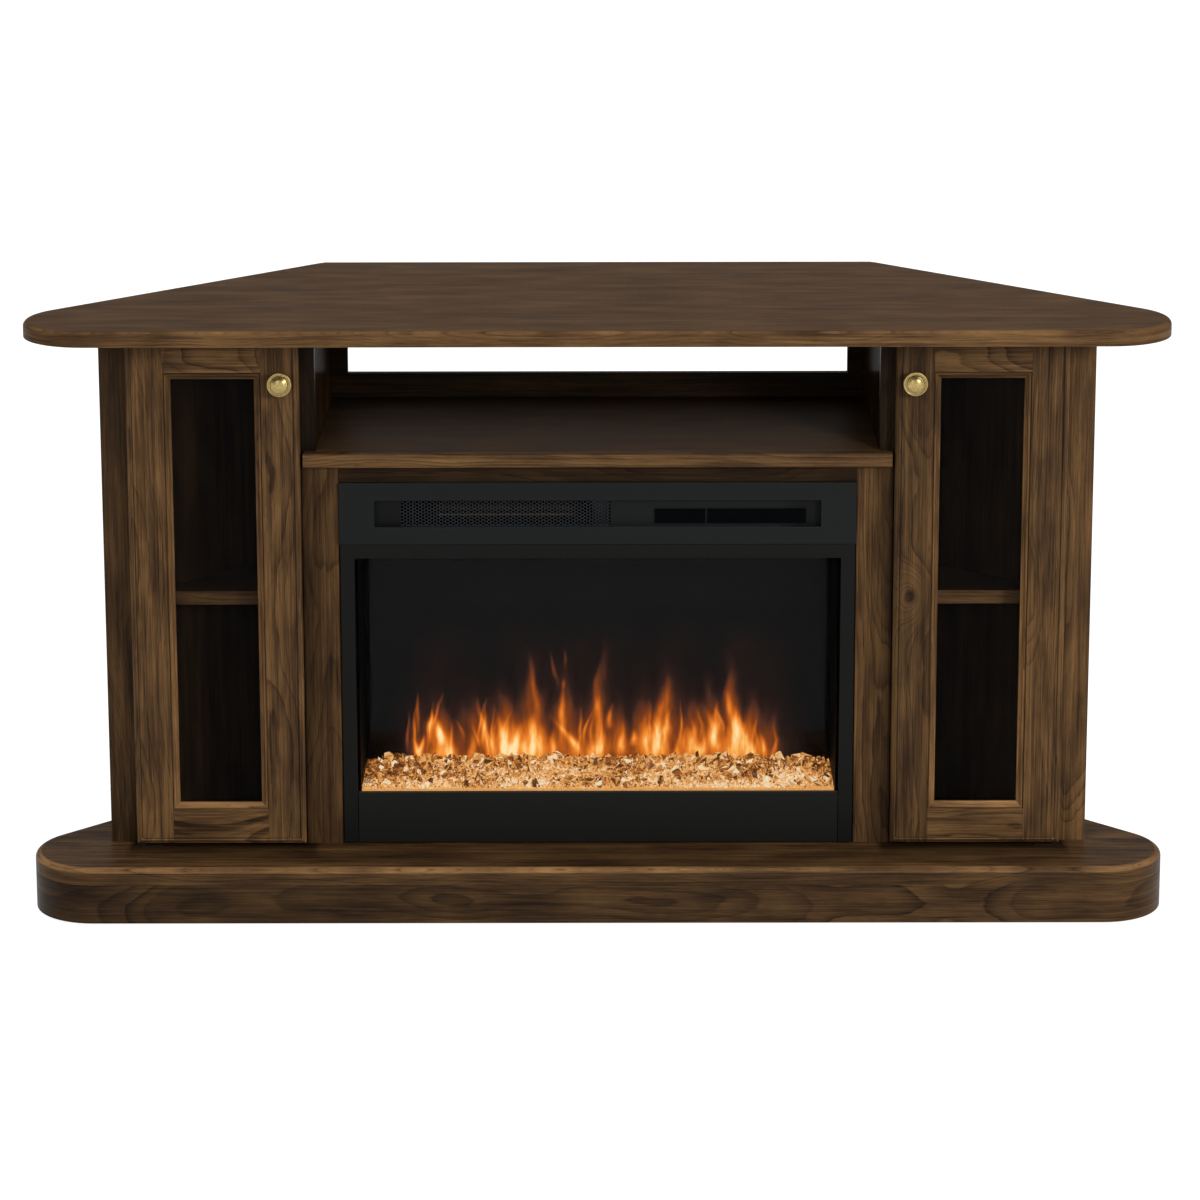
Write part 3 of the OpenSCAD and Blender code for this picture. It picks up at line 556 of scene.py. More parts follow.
def bent_run(p, node, radius):
    """Distance along the outline of a board with round front corners, and distance inside it."""
    lo, hi = box_of(node)
    centre = Vector((hi.x - radius, lo.y + radius))
    side = 1 if p.x > 0 else -1
    rel = Vector((abs(p.x) - centre.x, p.y - centre.y))
    if rel.x <= 0 and rel.y < 0:
        return p.x, p.y - lo.y
    turn = math.radians(135)
    angle = math.atan2(rel.x, -rel.y) % (2 * math.pi)
    if angle < turn:
        return side * (centre.x + radius * angle), radius - rel.length
    along = Vector((math.cos(turn), math.sin(turn)))
    outward = Vector((math.sin(turn), -math.cos(turn)))
    return side * (centre.x + radius * turn + rel.dot(along)), radius - rel.dot(outward)


def skirt_grain(p):
    """Grain of the bent front skirt: along its front, round the corner and down the side."""
    run, inside = bent_run(p, "base_front_skirt", BASE_RADIUS)
    return run, p.z - SKIRT_MIDDLE, inside


def board_grain(mesh, node, radius, shades):
    """Grain of a board: straight on its faces, and along the edge strip bent round its corners."""
    grain, seed, shade = wood_attributes(mesh, "CORNER")
    number = rng.random()
    for i, vertex in enumerate(mesh.vertices):
        seed[i].value = number
        shade[i].value = shades(vertex.co)
    for polygon in mesh.polygons:
        level, at_back = abs(polygon.normal.z) > 0.98, polygon.normal.y > 0.8
        for corner in polygon.loop_indices:
            p = mesh.vertices[mesh.loops[corner].vertex_index].co
            run, inside = bent_run(p, node, radius)
            if at_back:
                run, inside = p.x, box_of(node)[1].y - p.y
            grain[corner].vector = (p.x, p.y, 0) if level else (run, p.z - inside, 0.01)


def upright_sides(points):
    return slanted_axes(points, True)


def level_sides(points):
    return slanted_axes(points, False)


KNOT = (0.397, 0.407, 0.021)  # x, z and size of the knot in the right door
front_wood = walnut("walnut_front", figure=1.25, lit_edges=True)
knotty = walnut("walnut_knotty", knot=KNOT, figure=1.25, lit_edges=True)
rail_wood = walnut("walnut_rails", tone=1.25, figure=1.1, lit_edges=True, rings=0.0052)
skirt_wood = walnut("walnut_skirt", tone=1.2, figure=1.1, rings=0.0105)
satin = walnut("walnut_satin", roughness=0.2, specular=0.0003)
dull = walnut("walnut_dull", specular=0.05)
calm = walnut("walnut_calm", figure=0.4)
top_wood = walnut("walnut_top", calm_top=True, roughness=0.55, specular=0.07)
inner_wood = FINISH["walnut_plain"]

# The doors' painted shadow on the base, in mm: its reach from the middle, and before and behind the
# doors' front. The base's top is cut near its edges.
SHADOW_X, SHADOW_FRONT, SHADOW_BACK = (360, 600), 45, 23
SHADOW_CUTS_X = [x + d for x in SHADOW_X for d in (-5, 5)]
SHADOW_CUTS_Y = (-SHADOW_BACK - 1, -SHADOW_BACK + 1, 0, 8, 20, SHADOW_FRONT)


def board_shade(node, upper, edge, face, rounding):
    """Painted light and shade of a board whose edge is rounded over by so many mm: its upper face, the
    rounded edge with a painted highlight, and the face below that. The upper face of the base is painted
    dark below the doors and in their shadow."""
    top = box_of(node)[1].z

    def shade(p):
        below = (top - p.z) / MM
        if below >= 0.05:
            return edge if below < rounding else face
        before_doors = (door_front - p.y) / MM
        if (node == "base_board" and SHADOW_X[0] < abs(p.x) / MM < SHADOW_X[1]
                and before_doors > -SHADOW_BACK):
            return upper * blend(before_doors, 0, SHADOW_FRONT, 0.25, 1.0)
        return upper
    return shade


def trim_shade(p):
    """Painted shade: the header is painted dark as the shelf's shadow, and the uprights are painted
    darker towards the doors, in their shade.
    """
    header_bottom, header_end, light_x, dark_x = 0.553, 0.3274, 0.330, 0.372
    if p.z > header_bottom and abs(p.x) < header_end:
        return 0.16
    return blend(abs(p.x), light_x, dark_x, 0.80, 0.22)


def shelf_shade(p):
    """Painted shade: the media shelf is painted darker towards its back."""
    dark_y = 0.12
    return blend(p.y, box_of("media_shelf")[0].y, dark_y, 0.86, 0.08)


def tower_shelf_shade(p):
    """Painted light: only the front edge of a tower's shelf is painted bright, as light through the
    smoked pane; the rest of the shelf is painted dark.
    """
    return 2.2 if p.y < box_of("tower_shelves")[0].y + 0.4 * MM else 0.5


@functools.cache
def side_reach(node):
    """|x| + y of the outermost face of a node on the 45 degree sides."""
    return max(abs(v.co.x) + v.co.y for v in nodes[node].data.vertices)


def side_panel_shade(p):
    """Painted light and shade: the outer face of a side panel, a little lighter on the right, and the
    inside of its tower, painted dark as shade.
    """
    if abs(p.x) + p.y < side_reach("side_panels") - 2 * MM:
        return 0.4
    return 0.8 if p.x < 0 else 0.9


# Painted light: the front skirt is painted lighter towards the right, where the light comes from.
def skirt_shade(p):
    return blend(p.x, -0.6, 0.6, 0.25, 0.46)


def cut(mesh, planes):
    """Cuts the faces of a mesh along planes (point, normal), so that new vertices lie there."""
    bm = bmesh.new()
    bm.from_mesh(mesh)
    for point, normal in planes:
        bmesh.ops.bisect_plane(bm, geom=bm.verts[:] + bm.edges[:] + bm.faces[:], dist=0.001 * MM,
                               plane_co=point, plane_no=normal)
    bm.to_mesh(mesh)
    bm.free()


for name, finish, radius, shades in (
        ("top_board", top_wood, TOP_RADIUS, board_shade("top_board", 0.82, 0.9, 0.84, 3.5)),
        ("base_board", wood, BASE_RADIUS, board_shade("base_board", 0.60, 1.25, 0.55, 6))):
    mesh = nodes[name].data.copy()
    if name == "base_board":
        cut(mesh, [(Y * (door_front - d * MM), Y) for d in SHADOW_CUTS_Y] +
            [(X * (side * x * MM), X) for side in (-1, 1) for x in SHADOW_CUTS_X])
    board_grain(mesh, name, radius, shades)
    add_piece(name + "_wood", mesh, finish, name)

# Painted light and shade: the shades scale each board's colour, low where it lies in shade (insides, the
# left outer stile in its door's shadow, the back) and higher where light falls.
WOODWORK = [  # node, how its grain runs, finish, softened edge in mm, shades
    ("base_side_skirts", level_sides, wood, 0.8, (0.6, 0.7)),
    ("base_ribs", board_axes, inner_wood, 0.6, (1, 1)),
    ("outer_stiles", board_axes, wood, 0.6, (0.40, 0.80)),
    ("inner_stiles", board_axes, dull, 0.6, (0.08, 0.10)),
    ("tower_rails", board_axes, wood, 0.5, (0.6, 0.7)),
    ("side_panels", upright_sides, wood, 0.6, side_panel_shade),
    ("inner_walls", board_axes, satin, 0.6, (0.2, 0.2)),
    ("tower_shelves", lambda points: (X, Y, Z), wood, 0.8, tower_shelf_shade),
    ("media_shelf", board_axes, calm, 0.4, shelf_shade),
    ("shelf_nosing", board_axes, wood, 0.7, (0.85, 0.85)),
    ("support_cleats", board_axes, inner_wood, 0.6, (1, 1)),
    ("compartment_back", board_axes, dull, 0.5, (0.12, 0.12)),
    ("surround_trim", board_axes, dull, 0.5, trim_shade),
    ("surround_frame", board_axes, inner_wood, 0.5, (1, 1)),
]

GROOVE = (6.3, 7.4, 8.5)  # edges and middle of the groove round a door, from the door's edge, in mm
GROOVE_DEPTH = 1.6 * MM


def door_inset(p):
    """How far inside the edge of its door a place lies."""
    lo, hi = box_of("right_door_stiles")
    return min(abs(p.x) - lo.x, hi.x - abs(p.x), p.z - lo.z, hi.z - p.z)


def in_groove(p, deep):
    """Whether p lies on the groove's middle line, less than deep behind the doors' front."""
    return p.y < door_front + deep and abs(door_inset(p) - GROOVE[1] * MM) < 0.02 * MM


def groove(mesh):
    """Cuts the fine groove that runs round a door inside its bevel."""
    lo, hi = box_of("right_door_stiles")
    side = 1 if mesh.vertices[0].co.x > 0 else -1
    upright = [lo.x + d * MM for d in GROOVE] + [hi.x - d * MM for d in GROOVE]
    level = [z for d in GROOVE for z in (lo.z + d * MM, hi.z - d * MM)]
    cut(mesh, [(X * (side * x), X) for x in upright] + [(Z * z, Z) for z in level])
    for vertex in mesh.vertices:
        if in_groove(vertex.co, 0.2 * MM):
            vertex.co.y += GROOVE_DEPTH


def door_shade(p):
    """Painted light and shade: the left door is painted a little lighter near the top and the right door
    towards the right; the groove is painted dark as its shade.
    """
    if p.x < 0:
        light = blend(p.z, 0.2, 0.72, 0.76, 0.86)
    else:
        light = blend(p.x, 0.40, 0.57, 0.57, 0.74)
    return light * 0.15 if in_groove(p, GROOVE_DEPTH + 0.4 * MM) else light


for side in SIDES:
    WOODWORK += [
        (side + "_door_stiles", board_axes, knotty if side == "right" else front_wood, 0.8, door_shade),
        (side + "_door_rails", board_axes, rail_wood, 0.5, door_shade),
        (side + "_door_retainer", board_axes, inner_wood, 0.4, (1, 1)),
    ]
for name, axes, finish, soft, shades in WOODWORK:
    mesh = solid_mesh(name, soft * MM)
    if shades is door_shade:
        groove(mesh)
    add_grain(mesh, axes=axes, shades=shades)
    weighted(add_piece(name + "_wood", mesh, finish, name))

mesh = solid_mesh("base_front_skirt", 0.8 * MM)
add_grain(mesh, bend=skirt_grain, shades=skirt_shade)
weighted(add_piece("base_front_skirt_wood", mesh, skirt_wood, "base_front_skirt"))
# Painted shade: the pivot plates and door bushes under the doors are coloured dark brown as the shade
# there; the firebox shell and the blower wheel get the near-black shell colour.
for name, finish in (("pivot_plates", "dark_bronze"), ("left_door_bushes", "dark_bronze"),
                     ("right_door_bushes", "dark_bronze"), ("firebox_shell", "dark_shell"),
                     ("blower_wheel", "dark_shell")):
    nodes[name].data.materials[0] = FINISH[finish]

# Section of the moulding round the pane, in mm: inwards from the bead's edge, behind the door's front.
BEAD_SECTION = [
    (0, 8), (0, 3.4), (1.1, 3.4), (1.3, 1.5), (2.0, 1.1), (3.0, 1.1), (3.9, 1.6), (4.8, 3.0), (6.0, 4.2),
    (7.4, 4.9), (8.4, 5.1), (8.9, 5.6), (8.9, 8),
]


def glass_bead(node):
    """Moulding round the pane: a fine groove, a rounded ridge and a cove down to the glass, with mitred
    corners."""
    lo, hi = box_of(node)
    middle, half = (lo + hi) / 2, (hi - lo) / 2
    corners = [(-1, -1), (1, -1), (1, 1), (-1, 1)]
    count = len(BEAD_SECTION)
    verts, faces = [], []
    for k in range(4):
        base = len(verts)
        for sx, sz in (corners[k], corners[(k + 1) % 4]):
            for inward, deep in BEAD_SECTION:
                verts.append(Vector((middle.x + sx * (half.x - inward * MM), door_front + deep * MM,
                                     middle.z + sz * (half.z - inward * MM))))
        for i in range(base, base + count - 1):
            faces.append((i, i + 1, i + count + 1, i + count))
    mesh = mesh_from(node + "_moulding", verts, faces)
    mesh.shade_smooth()
    mesh.set_sharp_from_angle(angle=math.radians(28))
    return mesh


def bead_shade(p):
    """Painted highlight: the bottom piece, which faces up into the light, is painted lighter than the
    rest.
    """
    return 1.5 if p.z < box_of("left_door_bead")[0].z + 9.2 * MM else 0.8


for side in SIDES:
    node = side + "_door_bead"
    mesh = glass_bead(node)
    add_grain(mesh, shades=bead_shade)
    add_piece(node + "_moulding", mesh, wood, node)


# ---- steel and glass of the insert ----

for name, soft in (("vent_panel", 0.7), ("window_frame", 0.5), ("lower_panel", 0.6),
                   ("display_window", 0.3)):
    coat = {"window_frame": "frame_steel", "lower_panel": "panel_steel"}.get(name, slots[name])
    weighted(add_piece(name + "_sheet", solid_mesh(name, soft * MM), FINISH[coat], name))


def bar(verts, faces, a, b, width, y0, y1):
    """Adds a flat bar from a to b in the XZ plane, between depths y0 and y1."""
    run = Vector((b[0] - a[0], 0, b[1] - a[1]))
    off = Vector((-run.z, 0, run.x)).normalized() * width / 2
    base = len(verts)
    for y in (y0, y1):
        for p, s in ((a, 1), (b, 1), (b, -1), (a, -1)):
            verts.append(Vector((p[0], y, p[1])) + off * s)
    faces += [[base + i for i in f] for f in ((0, 1, 2, 3), (7, 6, 5, 4), (0, 4, 5, 1), (1, 5, 6, 2),
                                              (2, 6, 7, 3), (3, 7, 4, 0))]


def outlet_grid():
    """Honeycomb sheet: short level bonds joined by slanted strands, in a narrow border."""
    lo, hi = box_of("outlet_mesh")
    verts, faces = [], []
    bond, slant, rise, strand, border = 1.6 * MM, 2.2 * MM, 2.1 * MM, 0.6 * MM, 1.5 * MM
    near, deep = lo.y + 0.1 * MM, lo.y + 0.4 * MM
    rows, columns = int((hi.z - lo.z) / rise), int((hi.x - lo.x) / (bond + slant))
    for j in range(rows):
        for i in range(j % 2, columns, 2):
            x, z = lo.x + i * (bond + slant), lo.z + j * rise
            bar(verts, faces, (x, z), (x + bond, z), strand, near, deep)
            for up in (-1, 1):
                if 0 <= j + up <= rows:
                    tip = (x + bond + slant, z + up * rise)
                    bar(verts, faces, (x + bond, z), tip, strand, near, deep)
    for z in (lo.z + border / 2, hi.z - border / 2):
        bar(verts, faces, (lo.x, z), (hi.x, z), border, lo.y, hi.y)
    for x in (lo.x + border / 2, hi.x - border / 2):
        bar(verts, faces, (x, lo.z), (x, hi.z), border, lo.y, hi.y)
    return mesh_from("outlet_grid", verts, faces)


grid_steel = plain("grid_steel", (50, 51, 54), (72, 74, 78), 0.5, 0.1, 0.05, 900.0)
add_piece("outlet_grid", outlet_grid(), grid_steel, "outlet_mesh")


def coil(verts, faces, start, length, radius, wire, pitch):
    """Adds a wire coil that runs along +X from start."""
    turns, steps, sides = length / pitch, 14, 5
    base = len(verts)
    count = int(turns * steps)
    for i in range(count + 1):
        a = 2 * math.pi * i / steps
        outward = Vector((0, math.cos(a), math.sin(a)))
        centre = start + X * (pitch * i / steps) + outward * radius
        for k in range(sides):
            b = 2 * math.pi * k / sides
            verts.append(centre + outward * wire * math.cos(b) + X * wire * math.sin(b))
        if i:
            for k in range(sides):
                n = base + (i - 1) * sides
                faces.append((n + k, n + (k + 1) % sides, n + sides + (k + 1) % sides, n + sides + k))


POST = 3 * MM  # from the ends of the heater to the middles of its posts
COIL_Z, COIL_RADIUS, COIL_WIRE, COIL_PITCH = (0.5125, 0.5215), 3.6 * MM, 0.42 * MM, 3.6 * MM
ROD_Z, ROD_WIDTH = 0.5035, 2.0 * MM


def heater():
    """Two flat coils of thin wire above a smooth rod, strung between two dark posts."""
    lo, hi = box_of("heater_element")
    verts, faces = [], []
    y, inset = (lo.y + hi.y) / 2, 5 * MM
    for z in COIL_Z:
        coil(verts, faces, Vector((lo.x + inset, y, z)), hi.x - lo.x - 2 * inset, COIL_RADIUS, COIL_WIRE,
             COIL_PITCH)
    bar(verts, faces, (lo.x + POST, ROD_Z), (hi.x - POST, ROD_Z), ROD_WIDTH, y - ROD_WIDTH / 2,
        y + ROD_WIDTH / 2)
    return mesh_from("heater_coils", verts, faces)


def heater_posts():
    lo, hi = box_of("heater_element")
    verts, faces = [], []
    for x in (lo.x + POST, hi.x - POST):
        bar(verts, faces, (x, lo.z), (x, hi.z), 2.5 * MM, lo.y, hi.y)
    return mesh_from("heater_posts", verts, faces)


heater_wire = plain("heater_wire", (50, 43, 31), (82, 71, 52), 0.5, 0.3, 0.05)
add_piece("heater_coils", heater(), heater_wire, "heater_element")
add_piece("heater_posts", heater_posts(), FINISH["dark_shell"], "heater_element", replaced=False)


# ---- embers and flames ----

def random_direction(local):
    return Vector([local.gauss(0, 1) for _ in range(3)]).normalized()


def chip_shapes(count, seed):
    """Irregular convex chips about 1 unit across, as (points, faces)."""
    local = random.Random(seed)
    shapes = []
    for _ in range(count):
        bm = bmesh.new()
        for _ in range(9):
            p = random_direction(local)
            bm.verts.new((p.x * 0.55, p.y * 0.46, p.z * 0.38))
        hull = bmesh.ops.convex_hull(bm, input=bm.verts[:])
        inner = [v for v in hull["geom_interior"] if isinstance(v, bmesh.types.BMVert)]
        bmesh.ops.delete(bm, geom=inner, context="VERTS")
        bm.verts.index_update()
        shapes.append(([v.co.copy() for v in bm.verts], [[v.index for v in f.verts] for f in bm.faces]))
        bm.free()
    return shapes


def ember_bed():
    """Crushed glass: a packed base with small and large chips lying on it."""
    lo, hi = box_of("ember_crystals")
    local = random.Random(5)
    shapes = chip_shapes(14, 3)
    verts, faces, glows = [], [], []
    highest = hi.z + 7 * MM
    slab_top = lo.z + 15 * MM

    def chip(size, x, y, z, level):
        points, polygons = local.choice(shapes)
        turn = Matrix.Rotation(local.uniform(0, 6.28), 3, random_direction(local))
        base = len(verts)
        moved = [turn @ (p * size) for p in points]
        low, high = ([end(p[k] for p in moved) for k in range(3)] for end in (min, max))
        x = min(max(x, lo.x - low[0]), hi.x - high[0])
        y = min(max(y, lo.y - low[1]), hi.y - high[1])
        z = max(min(z, highest - high[2]), lo.z - low[2])
        verts.extend(p + Vector((x, y, z)) for p in moved)
        for polygon in polygons:
            faces.append([base + i for i in polygon])
            facet = level + local.gauss(0, 0.16 if size < 8 * MM else 0.24)
            glows.append(min(max(facet, 0.02), 1.15))

    for z in (lo.z, slab_top):
        corners = ((lo.x, lo.y, z), (hi.x, lo.y, z), (hi.x, hi.y, z), (lo.x, hi.y, z))
        verts.extend(Vector(p) for p in corners)
    faces += [[3, 2, 1, 0], [4, 5, 6, 7], [0, 1, 5, 4], [1, 2, 6, 5], [2, 3, 7, 6], [3, 0, 4, 7]]
    glows += [0.6] * len(faces)

    def lit(x, y):
        """How bright the bed is: brightest in patches along the glass, dim in the far corners."""
        forward = (hi.y - y) / (hi.y - lo.y)
        patch = noise.noise(Vector((x * 16, y * 24, 3.7)))
        corner = max(0.0, (abs(x) - 0.2) / 0.1) * (1 - forward)
        return 0.42 + 0.24 * forward ** 1.5 + 0.46 * patch - 0.2 * corner

    def scatter(count, smallest, largest, low, high, spread):
        """Chips all over the bed, smallest to largest across and low to high above the slab, in mm."""
        for _ in range(count):
            x, y = local.uniform(lo.x, hi.x), local.uniform(lo.y, hi.y)
            ends = 1 - max(0.0, abs(x) - 0.27) / 0.035
            heap = (y - lo.y) / (hi.y - lo.y) * 5 * MM * ends
            chip(local.uniform(smallest, largest) * MM, x, y,
                 slab_top + heap + local.uniform(low, high) * MM, local.gauss(lit(x, y), spread))

    scatter(7000, 3.0, 5.5, 0, 4, 0.2)
    scatter(330, 9, 17, 1, 5, 0.14)
    for _ in range(90):  # large ones along the back
        x, y = local.uniform(lo.x, hi.x), hi.y - local.uniform(2, 34) * MM
        chip(local.uniform(11, 19) * MM, x, y, slab_top + local.uniform(5, 10) * MM,
             local.uniform(0.35, 0.75))
    for _ in range(34):  # dark ones near the glass
        x, y = local.uniform(lo.x, hi.x), local.uniform(lo.y, lo.y + 60 * MM)
        chip(local.uniform(9, 15) * MM, x, y, slab_top + 6 * MM, local.uniform(0.02, 0.16))
    for _ in range(26):  # bright ones
        x, y = local.uniform(lo.x, hi.x), local.uniform(lo.y, hi.y)
        chip(local.uniform(7, 12) * MM, x, y, slab_top + 6 * MM, local.uniform(0.85, 1.1))
    mesh = mesh_from("embers", verts, faces)
    mesh.attributes.new("glow", "FLOAT", "FACE").data.foreach_set("value", glows)
    return mesh


add_piece("embers", ember_bed(), FINISH["ember_glass"], "ember_crystals")

# Tongues, in mm: foot x, foot above the bed, height, how far the tip leans, width; and heat.
TONGUES = [
    (-196, -4, 68, -24, 22, 1.0), (-236, 2, 28, -8, 8, 0.7), (-235, 4, 32, 9, 8, 0.7),
    (-219, 40, 26, 2, 9, 0.7), (-206, 24, 32, -3, 11, 1.0), (-144, 4, 86, -14, 10, 0.8),
    (-117, -2, 56, 0, 34, 1.0), (-119, 0, 74, -20, 14, 0.8), (-115, 0, 56, 16, 14, 0.8),
    (-84, -4, 72, -2, 42, 1.05), (-78, 68, 84, -14, 10, 0.45), (-26, 2, 62, -36, 14, 0.85),
    (-46, 52, 66, -3, 9, 0.45), (-47, 97, 12, 0, 4, 0.6), (2, 4, 44, 2, 15, 0.85),
    (2, 40, 120, -2, 11, 0.32), (15, 46, 34, 3, 9, 0.6), (31, 8, 30, 2, 12, 0.7),
    (46, 20, 22, 2, 8, 0.55), (62, 4, 84, 2, 15, 0.4), (78, 0, 116, 10, 22, 1.0),
    (84, 18, 58, 12, 10, 0.75), (104, 0, 30, 2, 11, 0.8), (120, 0, 48, 0, 34, 0.72),
    (156, 10, 66, -22, 14, 0.8), (153, 34, 48, 2, 9, 0.6), (175, 2, 124, 2, 19, 1.0),
    (197, 0, 70, -16, 20, 1.0), (205, 0, 36, 4, 9, 0.7), (218, 0, 40, -4, 9, 0.7),
    (231, 2, 30, 5, 8, 0.6), (-168, 0, 34, 5, 12, 0.5), (-60, 0, 44, 4, 14, 0.6),
    (-8, 0, 30, -4, 16, 0.6), (136, 0, 34, 6, 14, 0.6), (-212, 0, 30, -6, 14, 0.6),
]
# Faint wide columns and glows behind them, in the same form.
GLOWS = [
    (-236, 0, 62, -6, 22, 0.10), (-200, 0, 104, -6, 26, 0.16), (-160, 0, 84, -8, 26, 0.14),
    (-117, 0, 128, -4, 30, 0.26), (-82, 0, 162, -18, 34, 0.30), (-42, 0, 150, -12, 30, 0.28),
    (2, 0, 196, -4, 22, 0.26), (26, 0, 92, 2, 30, 0.24), (56, 0, 104, 2, 24, 0.24),
    (84, 0, 160, 4, 30, 0.26), (122, 0, 92, 0, 34, 0.26), (150, 0, 138, -6, 26, 0.26),
    (176, 0, 178, 2, 24, 0.26), (198, 0, 112, 2, 26, 0.22), (226, 0, 72, 2, 22, 0.16),
]
WISPS = 46  # thin tongues between the others
BED_TOP = 0.150
FLAME_Y = box_of("flame_screen")[0].y - 1.5 * MM


def shine_at(x, z, sways):
    """Strength of the flames at x and a height z above the bed, in mm."""
    x += 3.2 * noise.noise(Vector((x / 30, z / 26, 1.7))) * min(z / 40, 1.0)
    ends = 1 - ease(abs(x), 190, 290)
    cloud = 0.7 + 0.6 * noise.noise(Vector((x / 42, z / 90, 5.1)))
    haze = 0.05 * math.exp(-max(z, 0) / 26) + 0.17 * math.exp(-max(z, 0) / 130)
    total = ends * cloud * haze
    for (foot_x, foot, height, lean, width, heat), (sway, turn) in sways:
        t = (z - foot) / height
        if not -0.3 < t < 1:
            continue
        up = max(t, 0.0)
        middle = foot_x + lean * up ** 1.3 + sway * math.sin(turn + 4.4 * up) * up
        off = abs(x - middle) / (width * (0.36 + 0.52 * (1 - up) ** 1.5))
        if off < 5:
            fade = ease(t, -0.3, 0.05) * blend(t, 0.0, 0.26, 0.55, 1.1) * (1 - ease(t, 0.2, 1.0))
            total += heat * fade * (0.9 * math.exp(-3.4 * off * off) + 0.08 * math.exp(-0.5 * off * off))
    total *= blend(z, 40, 95, 1.15, 0.55)
    return 1.5 * (1 - math.exp(-0.76 * total))


def flames():
    """The light thrown on the screen, as one upright sheet just in front of it."""
    lo, hi = box_of("flame_screen")
    local = random.Random(9)
    wisps = []
    for _ in range(WISPS):
        x, foot = local.choice(TONGUES)[:2]
        wisps.append((x + local.gauss(0, 12), foot + local.uniform(4, 34), local.uniform(26, 74),
                      local.gauss(0, 9), local.uniform(3, 6.5), local.uniform(0.2, 0.55)))
    sways = [(tongue, (local.uniform(0.03, 0.07) * tongue[2], local.uniform(0, 6.28)))
             for tongue in TONGUES + GLOWS + wisps]
    left, right, foot, height = lo.x + 2 * MM, hi.x - 2 * MM, -8 * MM, 215 * MM
    columns, rows, fading = 380, 110, 25
    verts, faces, shines = [], [], []
    for j in range(rows + 1):
        z = foot + height * (j / rows) ** 1.25
        for i in range(columns + 1):
            x = left + (right - left) * i / columns
            verts.append((x, FLAME_Y, BED_TOP + z))
            shines.append(shine_at(x / MM, z / MM, sways) * (1 - ease(j, rows - fading, rows)))
    for j in range(rows):
        for i in range(columns):
            n = j * (columns + 1) + i
            faces.append((n, n + 1, n + columns + 2, n + columns + 1))
    mesh = mesh_from("flames", verts, faces)
    mesh.attributes.new("shine", "FLOAT", "POINT").data.foreach_set("value", shines)
    return mesh


add_piece("flames", flames(), flame_light("flame_light"), "flame_screen", replaced=False)


# ---- knobs ----

# Half of the turned section, in mm: radius, and how far it stands out from the door.
KNOB_PROFILE = [
    (0, 0), (8, 0), (8, 1.4), (7.2, 2), (5.4, 2.6), (5.0, 7), (5.4, 11), (7.5, 14), (11.5, 16.2),
    (14.4, 17.8), (15.3, 18.8), (15.5, 19.7), (15.2, 20.6), (14.5, 21.0), (13.9, 20.8), (13.5, 19.4),
    (11.3, 19.3), (10.8, 20.4), (10.2, 21.2), (9.4, 21.4), (8.9, 21.7), (7.6, 22.6), (5.8, 23.3),
    (3.6, 23.8), (1.6, 24.0), (0, 24.0),
]
BEADS, BEAD_RADIUS, BEAD_RING, BEAD_OUT = 40, 0.72, 12.4, 19.7  # beads on the knob: number, and mm


def net(faces, base, rows, around):
    """Adds the faces between rows + 1 closed rings of around vertices each, from vertex base on."""
    for i in range(rows):
        for k in range(around):
            n, m = base + i * around, (k + 1) % around
            faces.append((n + k, n + m, n + around + m, n + around + k))


def knob_mesh(name):
    """Turned knob with a rim, a ring of fine beads and a domed middle, about -Y."""
    sides, bead_rows, bead_sides = 72, 5, 8
    verts, faces = [], []
    for r, h in KNOB_PROFILE:
        for k in range(sides):
            a = 2 * math.pi * k / sides
            verts.append(Vector((r * math.cos(a), -h, r * math.sin(a))) * MM)
    net(faces, 0, len(KNOB_PROFILE) - 1, sides)
    for b in range(BEADS):
        a = 2 * math.pi * b / BEADS
        centre = Vector((BEAD_RING * math.cos(a), -BEAD_OUT, BEAD_RING * math.sin(a)))
        base = len(verts)
        for i in range(bead_rows + 1):
            p = math.pi * i / bead_rows
            for k in range(bead_sides):
                q = 2 * math.pi * k / bead_sides
                out = Vector((math.sin(p) * math.cos(q), -math.cos(p), math.sin(p) * math.sin(q)))
                verts.append((centre + BEAD_RADIUS * out) * MM)
        net(faces, base, bead_rows, bead_sides)
    mesh = mesh_from(name, verts, faces)
    bm = bmesh.new()
    bm.from_mesh(mesh)
    bmesh.ops.remove_doubles(bm, verts=bm.verts[:], dist=0.002 * MM)
    bmesh.ops.recalc_face_normals(bm, faces=bm.faces[:])
    bm.to_mesh(mesh)
    bm.free()
    mesh.shade_smooth()
    mesh.set_sharp_from_angle(angle=math.radians(50))
    return mesh


for side in SIDES:
    node = side + "_door_knob"
    lo, hi = box_of(node)
    mesh = knob_mesh(node + "_turned")
    mesh.transform(Matrix.Translation(((lo.x + hi.x) / 2, hi.y, (lo.z + hi.z) / 2)))
    add_piece(node + "_turned", mesh, FINISH["brass"], node)


# ---- floor, light and camera ----

FLOOR_HALF, FLOOR_DROP = 30, 0.4 * MM


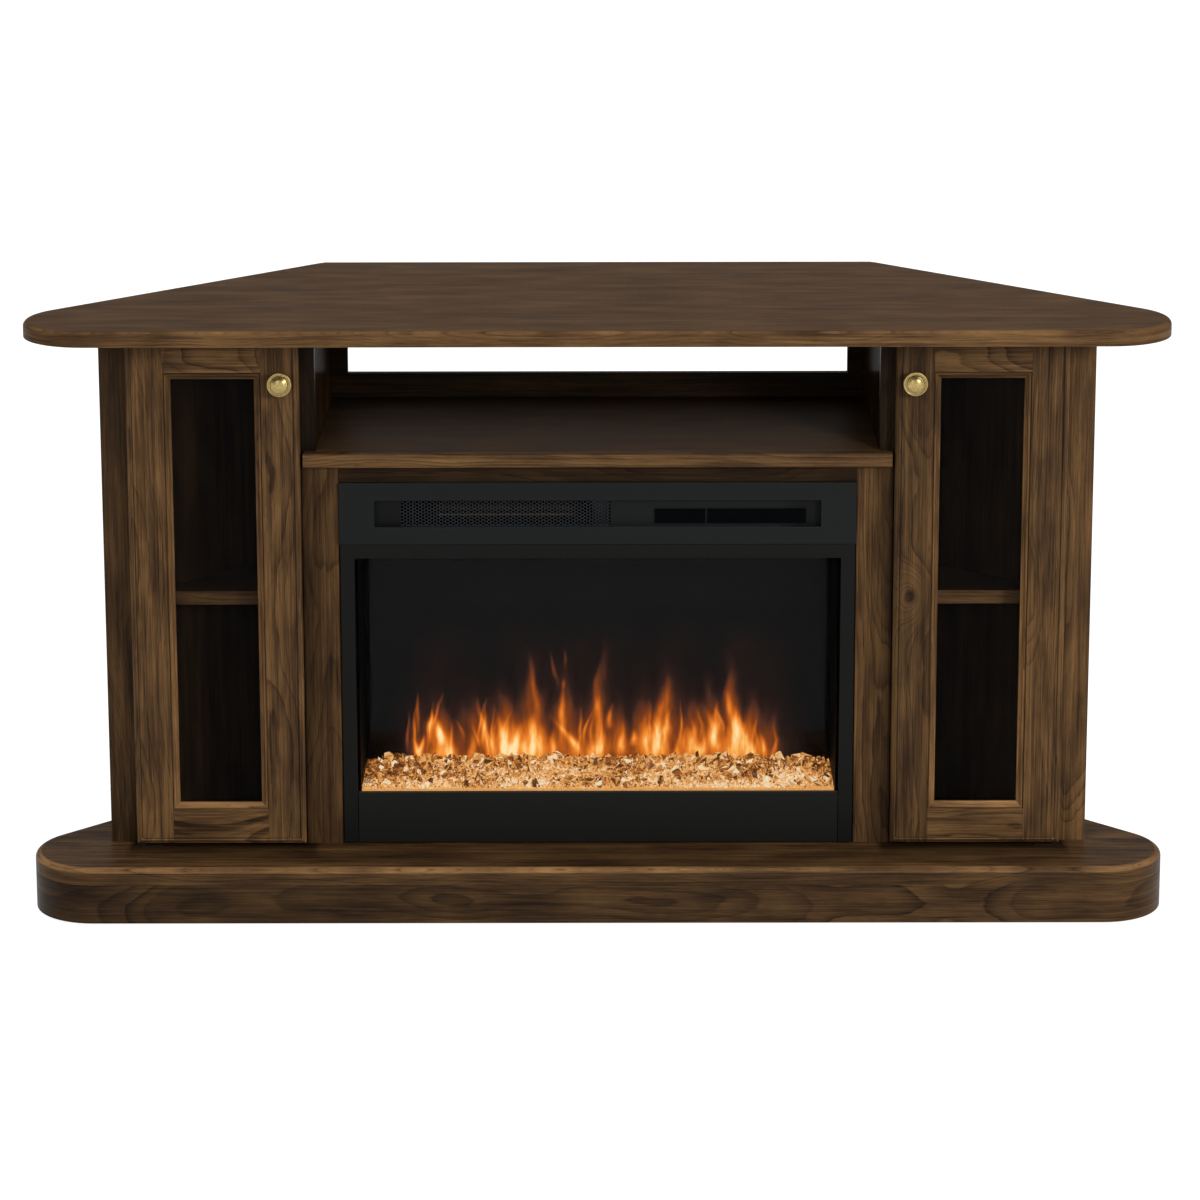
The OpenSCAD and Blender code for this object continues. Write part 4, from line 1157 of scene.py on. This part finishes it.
def white_floor():
    """White to the eye; its real, darker colour keeps the object's shadow."""
    h = FLOOR_HALF
    mesh = mesh_from("floor", [(-h, -h, 0), (h, -h, 0), (h, h, 0), (-h, h, 0)], [(0, 1, 2, 3)])
    g = Graph("floor_white")
    ray = g.add("LightPath").outputs
    seen = g.math("ADD", ray["Is Camera Ray"], ray["Is Glossy Ray"])
    seen = g.math("ADD", seen, ray["Is Transmission Ray"], clamp=True)
    grey = two_tone(g, g.noise(place(g), 2), (150, 150, 150), (154, 154, 154), 0.5)
    g.finish(Base_Color=grey, Roughness=0.9, Specular_IOR_Level=0.0, Emission_Color=WHITE,
             Emission_Strength=g.math("MULTIPLY", seen, 0.9))
    mesh.materials.append(g.material)
    floor = bpy.data.objects.new("floor", mesh)
    bpy.context.scene.collection.objects.link(floor)
    floor.location.z = -FLOOR_DROP
    return floor


def area_light(name, place_at, target, size, power):
    data = bpy.data.lights.new(name, "AREA")
    data.shape, data.size, data.energy = "DISK", size, power
    lamp = bpy.data.objects.new(name, data)
    bpy.context.scene.collection.objects.link(lamp)
    lamp.location = place_at
    towards = Vector(target) - Vector(place_at)
    lamp.rotation_euler = towards.to_track_quat("-Z", "Y").to_euler()
    return lamp


def white_world():
    """White to the eye; it darkens upwards in mirror images and lights dull surfaces plainly."""
    world = bpy.data.worlds.new("world")
    bpy.context.scene.world = world
    world.use_nodes = True
    g = Graph.__new__(Graph)  # the same short ways to add nodes, for a tree that is there already
    g.tree = world.node_tree
    g.tree.nodes.clear()
    ray = g.add("LightPath").outputs
    height = g.split(g.add("TexCoord").outputs["Generated"])[2]
    mirror = g.math("MULTIPLY", ray["Is Glossy Ray"], g.level(height, 0.02, 0.28, 1.0, 0.16))
    seen = g.math("ADD", ray["Is Camera Ray"], ray["Is Transmission Ray"])
    seen = g.math("ADD", seen, mirror, clamp=True)
    dull = g.math("MULTIPLY", ray["Is Diffuse Ray"], g.level(height, 0.0, 0.9, 0.42, 0.95))
    back = g.add("Background", {"Color": WHITE, "Strength": g.math("MAXIMUM", seen, dull)})
    g.add("OutputWorld", {0: back.outputs[0]})


stage = [
    white_floor(),
    area_light("key", (2.3, -3.5, 1.8), (0.05, 0, 0.4), 0.9, 86),
    area_light("fill", (-1.4, -4.2, 1.9), (0, 0, 0.35), 2.2, 23),
]
white_world()

CAMERA_TILT, CAMERA_ROLL = 0.209, -0.00143  # with the place and lens below, fitted to the photograph

scene = bpy.context.scene
camera = bpy.data.objects.new("camera", bpy.data.cameras.new("camera"))
scene.collection.objects.link(camera)
camera.location = (0.0033, -4.8886, 1.7370)
aim = Matrix.Rotation(math.pi / 2 - CAMERA_TILT, 3, "X") @ Matrix.Rotation(CAMERA_ROLL, 3, "Z")
camera.rotation_euler = aim.to_euler()
camera.data.lens, camera.data.sensor_width, camera.data.shift_y = 117, 36, -0.2083
scene.camera = camera
scene.view_settings.view_transform = "Standard"
